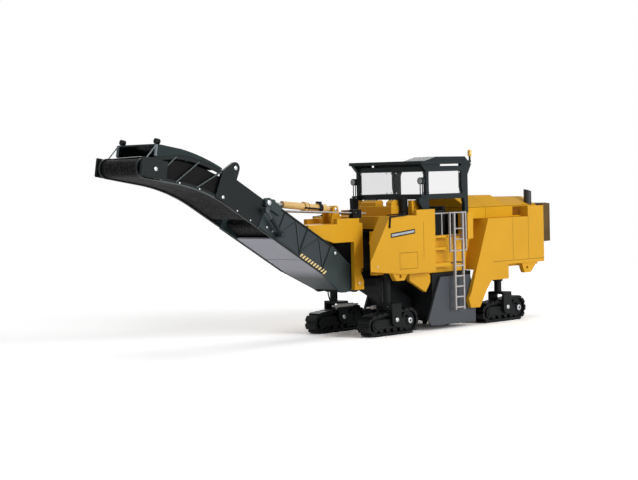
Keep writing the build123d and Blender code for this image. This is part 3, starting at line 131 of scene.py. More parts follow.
# %% A socket that takes part in sums
class Sum:
    """A shader socket. Sums on it add Math nodes to its tree."""

    def __init__(self, home, socket):
        self.home = home
        self.socket = socket

    def math(self, operation, *values, clamp=False):
        sockets = dict(enumerate(values))
        return self.home.node("ShaderNodeMath", sockets, operation=operation, use_clamp=clamp)

    def __add__(self, other):
        return self.math("ADD", self, other)

    def __sub__(self, other):
        return self.math("SUBTRACT", self, other)

    def __mul__(self, other):
        return self.math("MULTIPLY", self, other)

    def __truediv__(self, other):
        return self.math("DIVIDE", self, other)

    def __rsub__(self, other):
        return self.math("SUBTRACT", other, self)

    __radd__ = __add__
    __rmul__ = __mul__

    def above(self, level):
        return self.math("GREATER_THAN", self, level)

    def size(self):
        return self.math("ABSOLUTE", self)

    def wrapped(self):
        return self.math("FRACT", self)

    def limited(self):
        return self.math("MULTIPLY", self, 1.0, clamp=True)

    def ramp(self, low, high):
        """0 at low, 1 at high and a straight line between."""
        return ((self - low) / (high - low)).limited()


# %% A node tree, and a material under construction
def socket_name(word):
    """base_color is Base Color, and specular_ior_level is Specular IOR Level."""
    return word.replace("_", " ").title().replace("Ior", "IOR")


class Tree:
    """A node tree of a material or of the world."""

    def __init__(self, owner):
        owner.use_nodes = True
        self.tree = owner.node_tree

    def node(self, kind, sockets, output=0, **settings):
        """Adds a node: its settings first, then the values or links of its sockets."""
        made = self.tree.nodes.new(kind)
        for name, value in settings.items():
            setattr(made, name, value)
        for name, value in sockets.items():
            if isinstance(value, Sum):
                self.tree.links.new(value.socket, made.inputs[name])
            else:
                made.inputs[name].default_value = value
        return Sum(self, made.outputs[output])

    def surface(self, end, shader):
        """Wires a shader into the Surface socket of the tree's output node."""
        self.tree.links.new(shader.socket, self.tree.nodes[end].inputs["Surface"])

    def seen(self):
        """1 for what the camera sees, straight or through metal and glass."""
        kinds = ("Camera", "Glossy", "Transmission")
        straight, glossy, through = [
            self.node("ShaderNodeLightPath", {}, output=f"Is {kind} Ray") for kind in kinds
        ]
        return (straight + glossy + through).limited()


class Finish(Tree):
    """One material, whose paint() wires what varies into the surface."""

    def __init__(self, name, colour, roughness, **plain):
        self.material = bpy.data.materials.new(name)
        super().__init__(self.material)
        self.shader = self.tree.nodes["Principled BSDF"]
        self.material.diffuse_color = (*colour, 1.0)
        self.shader.inputs["Base Color"].default_value = (*colour, 1.0)
        self.shader.inputs["Roughness"].default_value = roughness
        for socket, value in plain.items():
            self.shader.inputs[socket_name(socket)].default_value = value
        self.place = self.node("ShaderNodeTexCoord", {}, output="Object")
        print("finish:", name)

    def noise(self, size, detail=3.0, rough=0.5):
        """Cloudy pattern from 0 to 1 whose blotches are about `size` metres across."""
        sockets = {"Vector": self.place, "Scale": 1 / size, "Detail": detail, "Roughness": rough}
        return self.node("ShaderNodeTexNoise", sockets)

    def along(self, direction):
        """Distance in metres along a direction, as a shader value."""
        sockets = {0: self.place, 1: direction}
        return self.node("ShaderNodeVectorMath", sockets, output="Value", operation="DOT_PRODUCT")

    def away(self):
        """Distance in metres from the object's origin."""
        sockets = {0: self.place}
        return self.node("ShaderNodeVectorMath", sockets, output="Value", operation="LENGTH")

    def line(self, direction, level, width):
        """1 in a thin soft-edged line where the distance along a direction is at a level."""
        off = (self.along(direction) - level).size()
        return 1 - off.ramp(width * 0.3, width * 0.5)

    def span(self, direction, low, high):
        """1 where the distance along a direction is between two levels."""
        distance = self.along(direction)
        return distance.above(low) * (1 - distance.above(high))

    def mix(self, factor, one, other):
        sockets = {0: factor, 6: one, 7: other}
        return self.node("ShaderNodeMix", sockets, output=2, data_type="RGBA")

    def paint(self, **inputs):
        for socket, value in inputs.items():
            target = self.shader.inputs[socket_name(socket)]
            self.tree.links.new(value.socket, target)
        return self.material

    def bump(self, height, depth, **inputs):
        """Raises the surface by height, in shares of depth metres, and wires the rest."""
        sockets = {"Height": height, "Strength": 1.0, "Distance": depth}
        return self.paint(Normal=self.node("ShaderNodeBump", sockets), **inputs)


def shade(colour, share=1.0):
    """A colour made lighter or darker by a share, as a socket value."""
    return tuple(min(part * share, 1.0) for part in colour) + (1.0,)


# %% [markdown]
# ## Enamel
# Die-cast models are sprayed with a thick enamel: even in colour, with a faint orange-peel and a
# soft gloss. Each colour could be a material set up by hand. One class holds the skin instead, so
# that amber and anthracite share it: the peel is a fine noise in the bump, and a slow noise shifts
# colour and gloss by a few hundredths.

# %% Enamel
GLOSS = 0.40
COAT = 0.03
COAT_GLOSS = 0.18
SHINE = 0.15
PEEL_SIZE = 0.7 * MM
PEEL_DEPTH = 0.02 * MM
GLOSS_SHIFT = 0.12


class Enamel(Finish):
    """A sprayed surface with the noise of its orange-peel."""

    def __init__(self, name, colour, roughness=GLOSS, coat=COAT, shine=SHINE):
        looks = {"coat_weight": coat, "coat_roughness": COAT_GLOSS, "specular_ior_level": shine}
        super().__init__(name, colour, roughness, **looks)
        self.colour = colour
        self.roughness = roughness
        self.peel = self.noise(PEEL_SIZE, detail=1.0)

    def shifting(self):
        """Its colour and its gloss, both with a slow shift."""
        cloud = self.noise(30 * MM, detail=2.0)
        tone = self.mix(cloud.ramp(0.3, 0.7), shade(self.colour, 0.93), shade(self.colour, 1.05))
        return tone, cloud * GLOSS_SHIFT + self.roughness - GLOSS_SHIFT / 2


def enamel(name, colour, **looks):
    made = Enamel(name, colour, **looks)
    tone, gloss = made.shifting()
    return made.bump(made.peel, PEEL_DEPTH, base_color=tone, roughness=gloss)


AMBER = (0.690, 0.355, 0.018)
amber_enamel = enamel("amber_enamel", AMBER)
canopy_enamel = enamel("canopy_black", (0.0090, 0.0155, 0.0175), roughness=0.42)
wall_enamel = enamel("conveyor_grey", (0.026, 0.040, 0.042), roughness=0.45, shine=0.2)
upper_enamel = enamel("conveyor_black", (0.0060, 0.0095, 0.0095), coat=0.02)
cover_enamel = enamel("cover_black", (0.009, 0.019, 0.0195), coat=0.02)
field_enamel = enamel("field_grey", (0.036, 0.047, 0.052), roughness=0.45)
# Painted highlight: a lighter grey for thin bars along the edges of the dark ribs and lattice.
highlight_enamel = enamel("highlight_edge_grey", (0.085, 0.105, 0.105), roughness=0.45, coat=0.02, shine=0.2)
jamb_enamel = enamel("jamb_grey", (0.20, 0.24, 0.26))
# Painted shade: the vents' darker amber stands in for the shade of their recess.
vent_amber_painted_shade = enamel("vent_amber_painted_shade", (0.42, 0.17, 0.012), coat=0.02, shine=0.2)
cream_enamel = enamel("cylinder_cream", (0.74, 0.50, 0.20), roughness=0.3)
grey_enamel = enamel("side_plate_grey", (0.060, 0.068, 0.080), roughness=0.45, shine=0.2)


# %% [markdown]
# ## Seams between panels
# The body is cast in a few large pieces, and fine grooves show where flaps and doors would be.
# They could be cut into the mesh, but a groove a quarter of a millimetre wide takes many faces and
# shows only as a dark line. So each seam is a line in the shader: a soft edge round one distance,
# kept between two levels, that lowers the bump and darkens the colour.

# %% Panel seams
SEAM_WIDTH = 0.28 * MM
SEAM_DEPTH = 0.2 * MM
SEAM_TONE = 0.5


def upright(x, low, high):
    """A seam that runs up a side at a station, between two levels."""
    return (AHEAD, spot(x, 0, 0).x, UP, low * MM, high * MM)


def level_seam(z, rear, front):
    """A seam that runs along a side at a level, between two stations."""
    return (UP, z * MM, AHEAD, spot(rear, 0, 0).x, spot(front, 0, 0).x)


def panelled(name, seams, **looks):
    """Amber enamel with the seams that upright() and level_seam() give."""
    made = Enamel(name, AMBER, **looks)
    groove = None
    for direction, level, across, low, high in seams:
        cut = made.line(direction, level, SEAM_WIDTH) * made.span(across, low, high)
        groove = cut if groove is None else groove.math("MAXIMUM", groove, cut)
    tone, gloss = made.shifting()
    colour_now = made.mix(groove, tone, shade(AMBER, SEAM_TONE))
    height = made.peel * 0.1 - groove
    return made.bump(height, SEAM_DEPTH, base_color=colour_now, roughness=gloss)


flap_seams = [upright(x, 31.6, 39.3) for x in (-0.2, -13.2)]
flap_seams += [level_seam(z, -13.2, -0.2) for z in (39.3, 31.6)]
rear_seams = [upright(-88.5, 31.4, 59.0), upright(-101.6, 31.4, 53.6)]
rear_seams.append(level_seam(31.4, -115.0, -71.7))
hood_seams = [level_seam(59.4, -115.0, -57.0), upright(-72.0, 53.6, 66.0)]
cheek_amber = panelled("cheek_amber", [upright(-18.0, 36.5, 53.5), *flap_seams])
rear_amber = panelled("rear_amber", rear_seams)
hood_amber = panelled("hood_amber", hood_seams, coat=0.0, shine=0.02)


# %% [markdown]
# ## Bracket and belly
# The slewing bracket is a fork, and the hollow between its arms is deep and in shade. A second
# piece could line it, but painted shade in the amber does the same: a black mask that is 1 between
# the arms, between two levels and between two stations. The plates under the conveyor's foot meet
# in a seam, and painted shade makes them darker towards the ground; both are masks of the same
# kind.

# %% Slewing bracket
HOLLOW_HALF = 8.9
HOLLOW_LEVELS = (23.0, 52.2)
HOLLOW_STATIONS = (12.4, 45.3)
HOLLOW_PAINTED_SHADE = (0.006, 0.006, 0.006)


def hollow_with_painted_shade(name):
    """Amber outside, and painted shade in black in the hollow between the bracket's two arms."""
    made = Enamel(name, AMBER, shine=0.1)
    low, high = [level * MM for level in HOLLOW_LEVELS]
    rear, front = [spot(x, 0, 0).x for x in HOLLOW_STATIONS]
    between_arms = 1 - made.along(LEFT).size().above(HOLLOW_HALF * MM)
    # Painted shade: the hollow gets no light, so this mask paints it black.
    hollow = between_arms * made.span(UP, low, high) * made.span(AHEAD, rear, front)
    colour_now = made.mix(hollow, shade(AMBER), shade(HOLLOW_PAINTED_SHADE))
    return made.bump(made.peel, PEEL_DEPTH, base_color=colour_now, roughness=hollow * 0.2 + GLOSS)


bracket_amber = hollow_with_painted_shade("bracket_amber")

# %% Belly plates
# Painted shade: between these runs the plates darken towards the foot.
FOOT_SHADE_RUNS = (21.0, 30.0)
FOOT_PAINTED_SHADE = (0.055, 0.070, 0.075)
BELLY_SEAM_RUN = 41.0
BELLY_SEAM_WIDTH = 0.6 * MM
BELLY_SEAM_DEPTH = 0.3 * MM
BELLY_SEAM_TONE = 0.22


def belly_plate(name, colour):
    """Grey enamel with a seam across, where two plates meet, and painted shade that darkens it
    towards the foot.
    """
    finish = Finish(name, colour, 0.5, coat_weight=0.1, coat_roughness=0.3, specular_ior_level=0.3)
    cloud = finish.noise(20 * MM, detail=3.0)
    seam_at, foot, ahead = [
        conveyor_spot(run, 0, 0).dot(SLOPE_AHEAD) for run in (BELLY_SEAM_RUN, *FOOT_SHADE_RUNS)
    ]
    seam = finish.line(SLOPE_AHEAD, seam_at, BELLY_SEAM_WIDTH)
    light = finish.mix(cloud.ramp(0.3, 0.7), shade(colour, 0.92), shade(colour, 1.06))
    # Painted shade, darker towards the foot.
    soft = finish.mix(finish.along(SLOPE_AHEAD).ramp(foot, ahead), shade(FOOT_PAINTED_SHADE), light)
    colour_now = finish.mix(seam, soft, shade(colour, BELLY_SEAM_TONE))
    height = cloud * 0.1 - seam
    gloss = cloud * 0.1 + 0.42
    return finish.bump(height, BELLY_SEAM_DEPTH, base_color=colour_now, roughness=gloss)


belly_enamel = belly_plate("belly_grey", (0.400, 0.405, 0.470))

# %% [markdown]
# ## Plastic, rubber and metal
# The small parts of such a model are moulded in black plastic, its tracks and belts are rubber, and
# its rails and pins are steel. Plain dark colours would leave only their outlines to tell them
# apart. A grain in the bump makes the mouldings matt, light specks make the belt rough, a wave
# gives the radiator its fins, and fine scratches in the gloss alone make steel look turned.

# %% Moulded plastic and rubber
GRAIN_DEPTH = 0.03 * MM
SPECK_DEPTH = 0.3 * MM


def moulded(name, colour, roughness, grain=0.4):
    """Matt moulding with a fine spark-eroded grain and slightly polished patches."""
    finish = Finish(name, colour, roughness, specular_ior_level=0.12)
    pattern = finish.noise(grain * MM, detail=2.0)
    patches = finish.noise(12 * MM, detail=3.0)
    colour_now = finish.mix(patches.ramp(0.35, 0.7), shade(colour, 0.8), shade(colour, 1.3))
    gloss = patches * 0.2 + roughness - 0.1
    return finish.bump(pattern, GRAIN_DEPTH, base_color=colour_now, roughness=gloss)


def speckled(name, dark, light, grain):
    """Rough rubber: light specks where the grain stands up."""
    finish = Finish(name, dark, 0.6, specular_ior_level=0.06)
    pattern = finish.noise(grain * MM, detail=3.0, rough=0.7)
    patches = finish.noise(9 * MM, detail=2.0)
    specks = (pattern.ramp(0.50, 0.64) * (patches * 0.8 + 0.3)).limited()
    colour_now = finish.mix(specks, shade(dark), shade(light))
    return finish.bump(pattern, SPECK_DEPTH, base_color=colour_now, roughness=patches * 0.2 + 0.5)


black_plastic = moulded("black_plastic", (0.005, 0.006, 0.0065), 0.48)
track_rubber = moulded("track_rubber", (0.0035, 0.0042, 0.0045), 0.42, grain=0.6)
belt_rubber = speckled("belt_rubber", (0.002, 0.0022, 0.0024), (0.050, 0.050, 0.056), grain=1.1)
shade_black = moulded("shade_black", (0.003, 0.003, 0.003), 0.7)
seat_black = moulded("seat_black", (0.010, 0.010, 0.011), 0.55)
drum_black = moulded("drum_black", (0.016, 0.015, 0.015), 0.5)
housing_black = moulded("housing_black", (0.005, 0.006, 0.007), 0.5)
brown_plastic = moulded("vent_brown", (0.105, 0.062, 0.020), 0.5)
lens_grey = moulded("lens_grey", (0.42, 0.45, 0.47), 0.25, grain=0.3)

# %% Radiator
FIN_PITCH = 0.8 * MM
FIN_DEPTH = 0.3 * MM


def finned(name, colour):
    """Upright fins as a wave in the bump, with painted shade darker in between."""
    finish = Finish(name, colour, 0.5)
    wave = (finish.along(LEFT) / FIN_PITCH).wrapped()
    fin = (wave - 0.5).size() * 2
    dust = finish.noise(10 * MM, detail=3.0)
    # Painted shade between the fins, varied by the dust noise.
    colour_now = finish.mix(fin * dust, shade(colour, 0.5), shade(colour, 1.5))
    return finish.bump(fin, FIN_DEPTH, base_color=colour_now, roughness=dust * 0.2 + 0.4)


radiator_fins = finned("radiator_fins", (0.060, 0.050, 0.042))


# %% Bare metal
def bare_metal(name, colour, roughness, metallic):
    """Drawn wire or turned steel: fine scratches change only the gloss."""
    finish = Finish(name, colour, roughness, metallic=metallic)
    scratches = finish.noise(0.5 * MM, detail=3.0, rough=0.7)
    return finish.paint(roughness=scratches * 0.25 + roughness - 0.12)


steel_wire = bare_metal("steel_wire", (0.40, 0.385, 0.38), 0.42, metallic=0.4)
bright_steel = bare_metal("bright_steel", (0.52, 0.54, 0.56), 0.3, metallic=0.7)
dark_steel = bare_metal("dark_steel", (0.05, 0.055, 0.06), 0.4, metallic=0.4)
exhaust_black = bare_metal("exhaust_black", (0.02, 0.02, 0.02), 0.35, metallic=0.3)


# %% [markdown]
# ## Film and lens
# The canopy's windows are thin clear film, and the beacon has an amber lens. Glass that bends light
# needs a wall with a thickness, and takes long to render. Both are simple surfaces instead, the
# film with a low alpha and the lens with a high one, and faint smears in the gloss show the film.

# %% Clear film and the beacon's lens
def clear(name, colour, alpha, roughness=0.06):
    """A see-through sheet or lens with faint smears in its gloss."""
    finish = Finish(name, colour, roughness, alpha=alpha, specular_ior_level=0.6)
    smear = finish.noise(20 * MM, detail=2.0)
    return finish.paint(roughness=smear * 0.08 + roughness)


clear_film = clear("clear_film", (0.20, 0.21, 0.22), 0.08)
amber_lens = clear("amber_lens", (0.88, 0.50, 0.03), 0.92, roughness=0.15)

# %% [markdown]
# ## Rounding what the CAD gives
# A CAD solid has knife edges, and nothing cast or moulded has. The mesh of a node is loose
# triangles, so a copy is merged, its flat faces are joined again, and a Bevel modifier rounds the
# edges that are sharper than a given angle. The rounded copy then stands for the node. The two
# cheeks at the front also lose the inner corner of their nose to a slanting cut.

# %% Dressing one node
BEVEL_ANGLE = math.radians(28)
FLAT_ANGLE = math.radians(1)
MERGE = 0.002 * MM
MOST_CORNERS = 24
EDGE = 0.12
EDGE_STEPS = 2
slots = {part["node"]: part["material_slot"] for part in frame["record"]["subparts"]}


def shave(form, place, direction):
    """Cuts off what lies beyond a plane and closes the cut."""
    cut = bmesh.ops.bisect_plane(
        form,
        geom=form.verts[:] + form.edges[:] + form.faces[:],
        plane_co=place,
        plane_no=direction,
        clear_outer=True,
    )
    rims = [part for part in cut["geom_cut"] if isinstance(part, bmesh.types.BMEdge)]
    bmesh.ops.holes_fill(form, edges=rims, sides=0)


def place_mesh(name, form, material):
    """Turns a form into an object of the scene, smooth wherever its edges are marked so."""
    for face in form.faces:
        face.smooth = True
        face.material_index = 0
    mesh = bpy.data.meshes.new(name)
    form.to_mesh(mesh)
    form.free()
    mesh.materials.append(material)
    piece = bpy.data.objects.new(name, mesh)
    bpy.context.scene.collection.objects.link(piece)
    return piece


def dress(name, material, edge=EDGE):
    """A copy of a CAD node with rounded edges, which replaces the node."""
    source = nodes[name]
    form = bmesh.new()
    form.from_mesh(source.data)
    bmesh.ops.remove_doubles(form, verts=form.verts, dist=MERGE)
    if name in shaved:
        shave(form, *shaved[name])
    bmesh.ops.dissolve_limit(form, angle_limit=FLAT_ANGLE, verts=form.verts, edges=form.edges)
    many_sided = [face for face in form.faces if len(face.verts) > MOST_CORNERS]
    bmesh.ops.triangulate(form, faces=many_sided)
    for line in form.edges:
        line.smooth = len(line.link_faces) == 2 and line.calc_face_angle(0) < BEVEL_ANGLE
    piece = place_mesh(f"{name}_skin", form, material)
    if edge:
        bevel = piece.modifiers.new("soft_edges", "BEVEL")
        bevel.width = edge * MM
        bevel.segments = EDGE_STEPS
        bevel.limit_method = "ANGLE"
        bevel.angle_limit = BEVEL_ANGLE
        bevel.harden_normals = True
    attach(piece, source["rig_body"])
    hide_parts(name)


# %% What each node wears
CHEEK_FACE = 25.0
NOSE = Vector((20.5, CHEEK_FACE))
INNER_EDGE = Vector((10.5, 15.5))
shaved = {}
for side, name in zip(SIDES, ("front_side_left", "front_side_right")):
    cut_line = NOSE - INNER_EDGE
    beyond = Vector((cut_line.y, -side * cut_line.x, 0)).normalized()
    shaved[name] = (spot(NOSE.x, side * NOSE.y, 0), beyond)
finishes = {
    "amber_paint": amber_enamel,
    "anthracite_paint": canopy_enamel,
    "black_plastic": black_plastic,
    "crawler_rubber": track_rubber,
    "grey_paint": grey_enamel,
    "belly_grey": belly_enamel,
    "steel_wire": steel_wire,
    "cream_paint": cream_enamel,
    "belt_rubber": belt_rubber,
    "clear_film": clear_film,
    "amber_lens": amber_lens,
    "seat_black": seat_black,
}
own_finishes = {
    "slew_bracket": bracket_amber,
    "front_side_left": cheek_amber,
    "front_side_right": cheek_amber,
    "rear_body": rear_amber,
    "hood": hood_amber,
    "lower_conveyor": wall_enamel,
    "upper_conveyor": upper_enamel,
    "upper_cover": cover_enamel,
    "drum_housing": housing_black,
    "radiator": radiator_fins,
    "milling_drum": drum_black,
    "head_roller": dark_steel,
    "fold_rods": dark_steel,
    "upper_skirts": shade_black,
}
own_edges = {
    "front_body": 0.35,
    "rear_body": 0.35,
    "hood": 0.5,
    "console": 0.3,
    "slew_bracket": 0.3,
    "windows": 0,
    "canopy_roof": 0.3,
}
to_dress = sorted(set(nodes) - {"exhaust"})
for name in to_dress:
    material = own_finishes.get(name, finishes[slots[name]])
    dress(name, material, own_edges.get(name, EDGE))
print("dressed:", len(to_dress))

# %% [markdown]
# ## Small parts by the handful
# Rivet heads, knobs and lenses are turned shapes, and trim plates are stampings. All of them come
# from five helpers: a rod is a plain cylinder, a stud a short one with a rounded rim, a bar a wire
# between two places, a plate a block with soft edges, and a ring a rectangle spun about a line.
# Each adds its faces to a form that is already open, so that all the studs of one body end up as a
# single mesh and ride together.

# %% Rods, studs, bars, plates and rings
SMOOTH_ANGLE = math.radians(40)
RIM_SHARE = 0.3
RING_STEPS = 28


def facing(direction):
    """The turn that points the Z axis along a direction."""
    return direction.to_track_quat("Z", "Y").to_matrix().to_4x4()


def rod(form, middle, turn, radius, length, segments):
    """A cylinder round a place, in metres, along the Z axis of a turn."""
    return bmesh.ops.create_cone(
        form,
        cap_ends=True,
        segments=segments,
        radius1=radius,
        radius2=radius,
        depth=length,
        matrix=Matrix.Translation(middle) @ turn,
    )


def soften(form, lines, width, segments=1):
    """Bevels some of a form's edges."""
    bmesh.ops.bevel(
        form,
        geom=list(lines),
        offset=width * MM,
        segments=segments,
        profile=0.5,
        affect="EDGES",
        material=-1,
    )


def stud(form, place, direction, radius, height, rim=RIM_SHARE, segments=18):
    """A round head that stands on a surface at place, with its rim rounded."""
    middle = place + direction.normalized() * (height * MM / 2)
    made = rod(form, middle, facing(direction), radius * MM, height * MM, segments)
    top = [vert for vert in made["verts"] if (vert.co - middle).dot(direction) > 0]
    rim_lines = {line for vert in top for line in vert.link_edges if line.other_vert(vert) in top}
    soften(form, rim_lines, min(rim * radius, 0.9 * height), segments=2)


def bar(form, start, end, radius, segments=10):
    """A round wire between two places."""
    run = end - start
    rod(form, (start + end) / 2, facing(run), radius * MM, run.length, segments)


def plate(form, middle, size, edge, turn=Matrix.Identity(4)):
    """A block round a place, its size in mm along its own axes, with soft edges."""
    scale = Matrix.Diagonal((*[part * MM for part in size], 1.0))
    made = bmesh.ops.create_cube(form, size=1.0, matrix=Matrix.Translation(middle) @ turn @ scale)
    soften(form, {line for vert in made["verts"] for line in vert.link_edges}, edge)


def ring(form, middle, direction, inner, outer, length):
    """A square ring round a line: a rectangle spun once about it."""
    away = Matrix.Translation(((inner + outer) / 2 * MM, 0, 0))
    stand_up = Matrix.Rotation(math.pi / 2, 4, "X")
    scale = Matrix.Diagonal(((outer - inner) * MM, length * MM, 1.0, 1.0))
    place = Matrix.Translation(middle) @ facing(direction) @ away @ stand_up @ scale
    made = bmesh.ops.create_grid(form, x_segments=1, y_segments=1, size=0.5, matrix=place)
    faces = list({face for vert in made["verts"] for face in vert.link_faces})
    lines = list({line for vert in made["verts"] for line in vert.link_edges})
    bmesh.ops.delete(form, geom=faces, context="FACES_ONLY")
    bmesh.ops.spin(
        form,
        geom=lines,
        cent=middle,
        axis=direction,
        angle=2 * math.pi,
        steps=RING_STEPS,
        use_merge=True,
    )


def add_piece(name, form, material, body):
    """Closes a form into one piece that rides on a body."""
    bmesh.ops.recalc_face_normals(form, faces=form.faces)
    for line in form.edges:
        line.smooth = line.calc_face_angle(math.pi) < SMOOTH_ANGLE
    piece = place_mesh(name, form, material)
    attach(piece, body)
    print(name, "faces:", len(piece.data.polygons))
    return piece


# %% [markdown]
# ## Pins and rivets
# The real model is held together by turned steel pins, and their bright heads are the first thing
# that the eye finds on its dark parts. Each head sits on the end of the pin that the CAD has.

# %% Crawler pins and hub caps
CRAWLER_Y = 17.5
YOKE_FACE = 5.1
HUB_FACE = 3.85
PIN_LEVEL = 7.4
HUB_BOLTS = 6
SPROCKET = (-10.9, 6.3, 2.1)
IDLER = (13.6, 5.2, 1.9)
for corner in ("front_left", "front_right", "rear_left", "rear_right"):
    swivel = Vector(joints[f"steer_{corner}"]["pos_m"])
    side = 1 if swivel.y > 0 else -1
    out = LEFT * side
    heads = bmesh.new()
    caps = bmesh.new()
    middle = Vector((swivel.x - SWIVEL_AHEAD * MM, side * CRAWLER_Y * MM, 0))
    for face in (out, -out):
        stud(heads, middle + face * (YOKE_FACE * MM) + UP * (PIN_LEVEL * MM), face, 1.15, 0.4)
    for (x, z, bolt_circle), home in ((SPROCKET, heads), (IDLER, caps)):
        centre = middle + Vector((x * MM, 0, z * MM)) + out * (HUB_FACE * MM)
        stud(home, centre, out, 1.5, 0.3)
        stud(caps, centre, out, 0.6, 0.5, segments=12)
        for index in range(HUB_BOLTS):
            angle = 2 * math.pi * index / HUB_BOLTS
            offset = Vector((math.cos(angle), 0, math.sin(angle))) * (bolt_circle * MM)
            stud(caps, centre + offset, out, 0.28, 0.25, segments=8)
    add_piece(f"pin_heads_{corner}", heads, bright_steel, f"crawler_{corner}")
    add_piece(f"hub_caps_{corner}", caps, black_plastic, f"crawler_{corner}")

# %% Conveyor pins
PIVOT = (13.5, 25.5)
ARM_FACE = 11.0
CAP_HEIGHT = 0.4
WALL_FACE = 13.0
EAR_FACE = 13.3
LIFT_EYE_FACE = 3.3
LIFT_PIN = (20.5, 61.0)
LIFT_PIN_AHEAD = (61.7, 10.5)
FOLD_PIN = (73.4, 4.5)
FOLD_PIN_FACE = 14.1
FOOT_PIN = (22.6, 4.7)
FOOT_FLARE = 0.2823
FOOT_PIN_FACE = 8.2 + FOOT_FLARE * (FOOT_PIN[0] - 9.0)
EAR_PIN = (97.1, 8.9)
HINGE_PIN = (98.5, -6.0)
HEAD_PIN = (139.4, -3.7)
HEAD_PLATE_FACE = 15.5
FOOT_BOLT_RUNS = (64.5, 68.5)
HEM_BOLT_RUNS = (79.0, 88.0, 112.0, 123.5, 134.0)


def wall_pin(form, side, place, face, radius, height, **shape):
    """A stud on a conveyor's side, at a (run, rise) and at a distance from the middle."""
    run, rise = place
    stud(form, conveyor_spot(run, side * face, rise), LEFT * side, radius, height, **shape)


bracket_pins = bmesh.new()
pivot_caps = bmesh.new()
lower_pins = bmesh.new()
upper_pins = bmesh.new()
for side in SIDES:
    out = LEFT * side
    cap = spot(PIVOT[0], side * ARM_FACE, PIVOT[1])
    stud(pivot_caps, cap, out, 1.7, CAP_HEIGHT)
    stud(bracket_pins, cap + out * (CAP_HEIGHT * MM), out, 0.6, 0.2, rim=0.15, segments=12)
    stud(bracket_pins, spot(LIFT_PIN[0], side * LIFT_EYE_FACE, LIFT_PIN[1]), out, 1.0, 0.35)
    wall_pin(lower_pins, side, FOLD_PIN, FOLD_PIN_FACE, 1.25, 0.5)
    wall_pin(lower_pins, side, LIFT_PIN_AHEAD, LIFT_EYE_FACE, 1.0, 0.35)
    wall_pin(lower_pins, side, FOOT_PIN, FOOT_PIN_FACE, 0.8, 0.4)
    for run in FOOT_BOLT_RUNS:
        wall_pin(lower_pins, side, (run, -5.4), WALL_FACE, 0.5, 0.3, segments=12)
    wall_pin(upper_pins, side, EAR_PIN, EAR_FACE, 1.0, 0.4)
    wall_pin(upper_pins, side, HINGE_PIN, EAR_FACE, 0.8, 0.4)
    wall_pin(upper_pins, side, HEAD_PIN, HEAD_PLATE_FACE, 0.95, 0.35)
    for run in HEM_BOLT_RUNS:
        wall_pin(upper_pins, side, (run, -7.3), WALL_FACE, 0.42, 0.25, segments=10)
add_piece("bracket_pins", bracket_pins, bright_steel, "slew_bracket")
add_piece("pivot_caps", pivot_caps, amber_enamel, "slew_bracket")
add_piece("lower_conveyor_pins", lower_pins, bright_steel, "lower_conveyor")
add_piece("upper_conveyor_pins", upper_pins, bright_steel, "upper_conveyor")

# %% Body rivets
CHEEK_RIVET = (15.5, 33.6)
BAY_FACE = 20.0
BAY_RIVETS = ((-30.0, 42.5), (-54.5, 47.0))
rivets = bmesh.new()
for side in SIDES:
    out = LEFT * side
    cheek_rivet = spot(CHEEK_RIVET[0], side * CHEEK_FACE, CHEEK_RIVET[1])
    stud(rivets, cheek_rivet, out, 0.45, 0.25, segments=12)
    for x, z in BAY_RIVETS:
        stud(rivets, spot(x, side * BAY_FACE, z), out, 0.4, 0.25, segments=12)
add_piece("body_rivets", rivets, bright_steel, "chassis")

# %% [markdown]
# ## Trim on the body
# The cheeks carry a plain name strip, which stays blank here, and the conveyor a strip of yellow
# and black hazard stripes. Stripes are arithmetic: the distance along the strip plus a share of the
# distance across it, cut into equal steps, is a slanted pattern that needs no texture.

# %% Hazard stripes
STRIPE_PITCH = 1.95 * MM
STRIPE_SLANT = 0.6
STRIP_EDGE = 0.06


def striped(name, light, dark):
    """Slanted stripes in two colours, as wide as each other."""
    finish = Finish(name, light, 0.4, coat_weight=0.2)
    slanted = finish.along(SLOPE_AHEAD) + finish.along(SLOPE_UP) * STRIPE_SLANT
    stripe = (slanted / STRIPE_PITCH).wrapped().above(0.5)
    wear = finish.noise(2 * MM, detail=2.0)
    colour_now = finish.mix(stripe, shade(light), shade(dark))
    return finish.paint(base_color=colour_now, roughness=wear * 0.2 + 0.3)


hazard = striped("hazard_stripes", (0.76, 0.59, 0.24), (0.005, 0.005, 0.005))
strips = bmesh.new()
for side in SIDES:
    middle = conveyor_spot(34.4, side * (WALL_FACE + 0.15), -6.95)
    plate(strips, middle, (19.0, 0.3, 2.2), STRIP_EDGE, SLOPE_TURN)
add_piece("hazard_strips", strips, hazard, "lower_conveyor")

# %% Blank name strips
NAME_TURN = Matrix.Rotation(math.radians(5), 4, "Y")
rims = bmesh.new()
blanks = bmesh.new()
for side in SIDES:
    middle = spot(-2.8, side * CHEEK_FACE, 48.7)
    plate(rims, middle, (17.6, 0.3, 2.2), STRIP_EDGE, NAME_TURN)
    plate(blanks, middle, (16.4, 0.44, 1.1), STRIP_EDGE, NAME_TURN)
add_piece("name_strip_rims", rims, black_plastic, "chassis")
add_piece("name_strip_faces", blanks, lens_grey, "chassis")

# %% [markdown]
# ## Walls of the conveyor
# The conveyor's walls are thin sheets, stiffened by upright ribs and slanted braces. The ribs could
# be extruded from the wall, but a slanted one would have to be cut into its faces first. A bar or
# a plate for each rib, laid on a flat skin, gives the same shape, since nobody sees where their
# faces pass into each other. The ribs are in a darker enamel than the wall, as painted shade along
# them. Dark enamel hides its own edges, so thin lighter bars lie along the ribs and the lattice as
# painted highlights. The cover's mouth has its jambs made of bars as well.

# %% Ribs on the lower conveyor's wall
WALL_SKIN = 0.1
SKIN_RUNS = (27.0, 64.6)
WALL_MIDDLE = -0.8
RIB_RUNS = (28.0, 45.2, 61.7)
RIB_HALF = 0.6
CROWN_RISE = 5.2
HIGHLIGHT_OUT = 0.3


def wall_bar(form, y, start, end, radius, segments=10):
    """A bar on a conveyor's wall between two places given as (run, rise)."""
    places = [conveyor_spot(run, y, rise) for run, rise in (start, end)]
    bar(form, *places, radius, segments=segments)


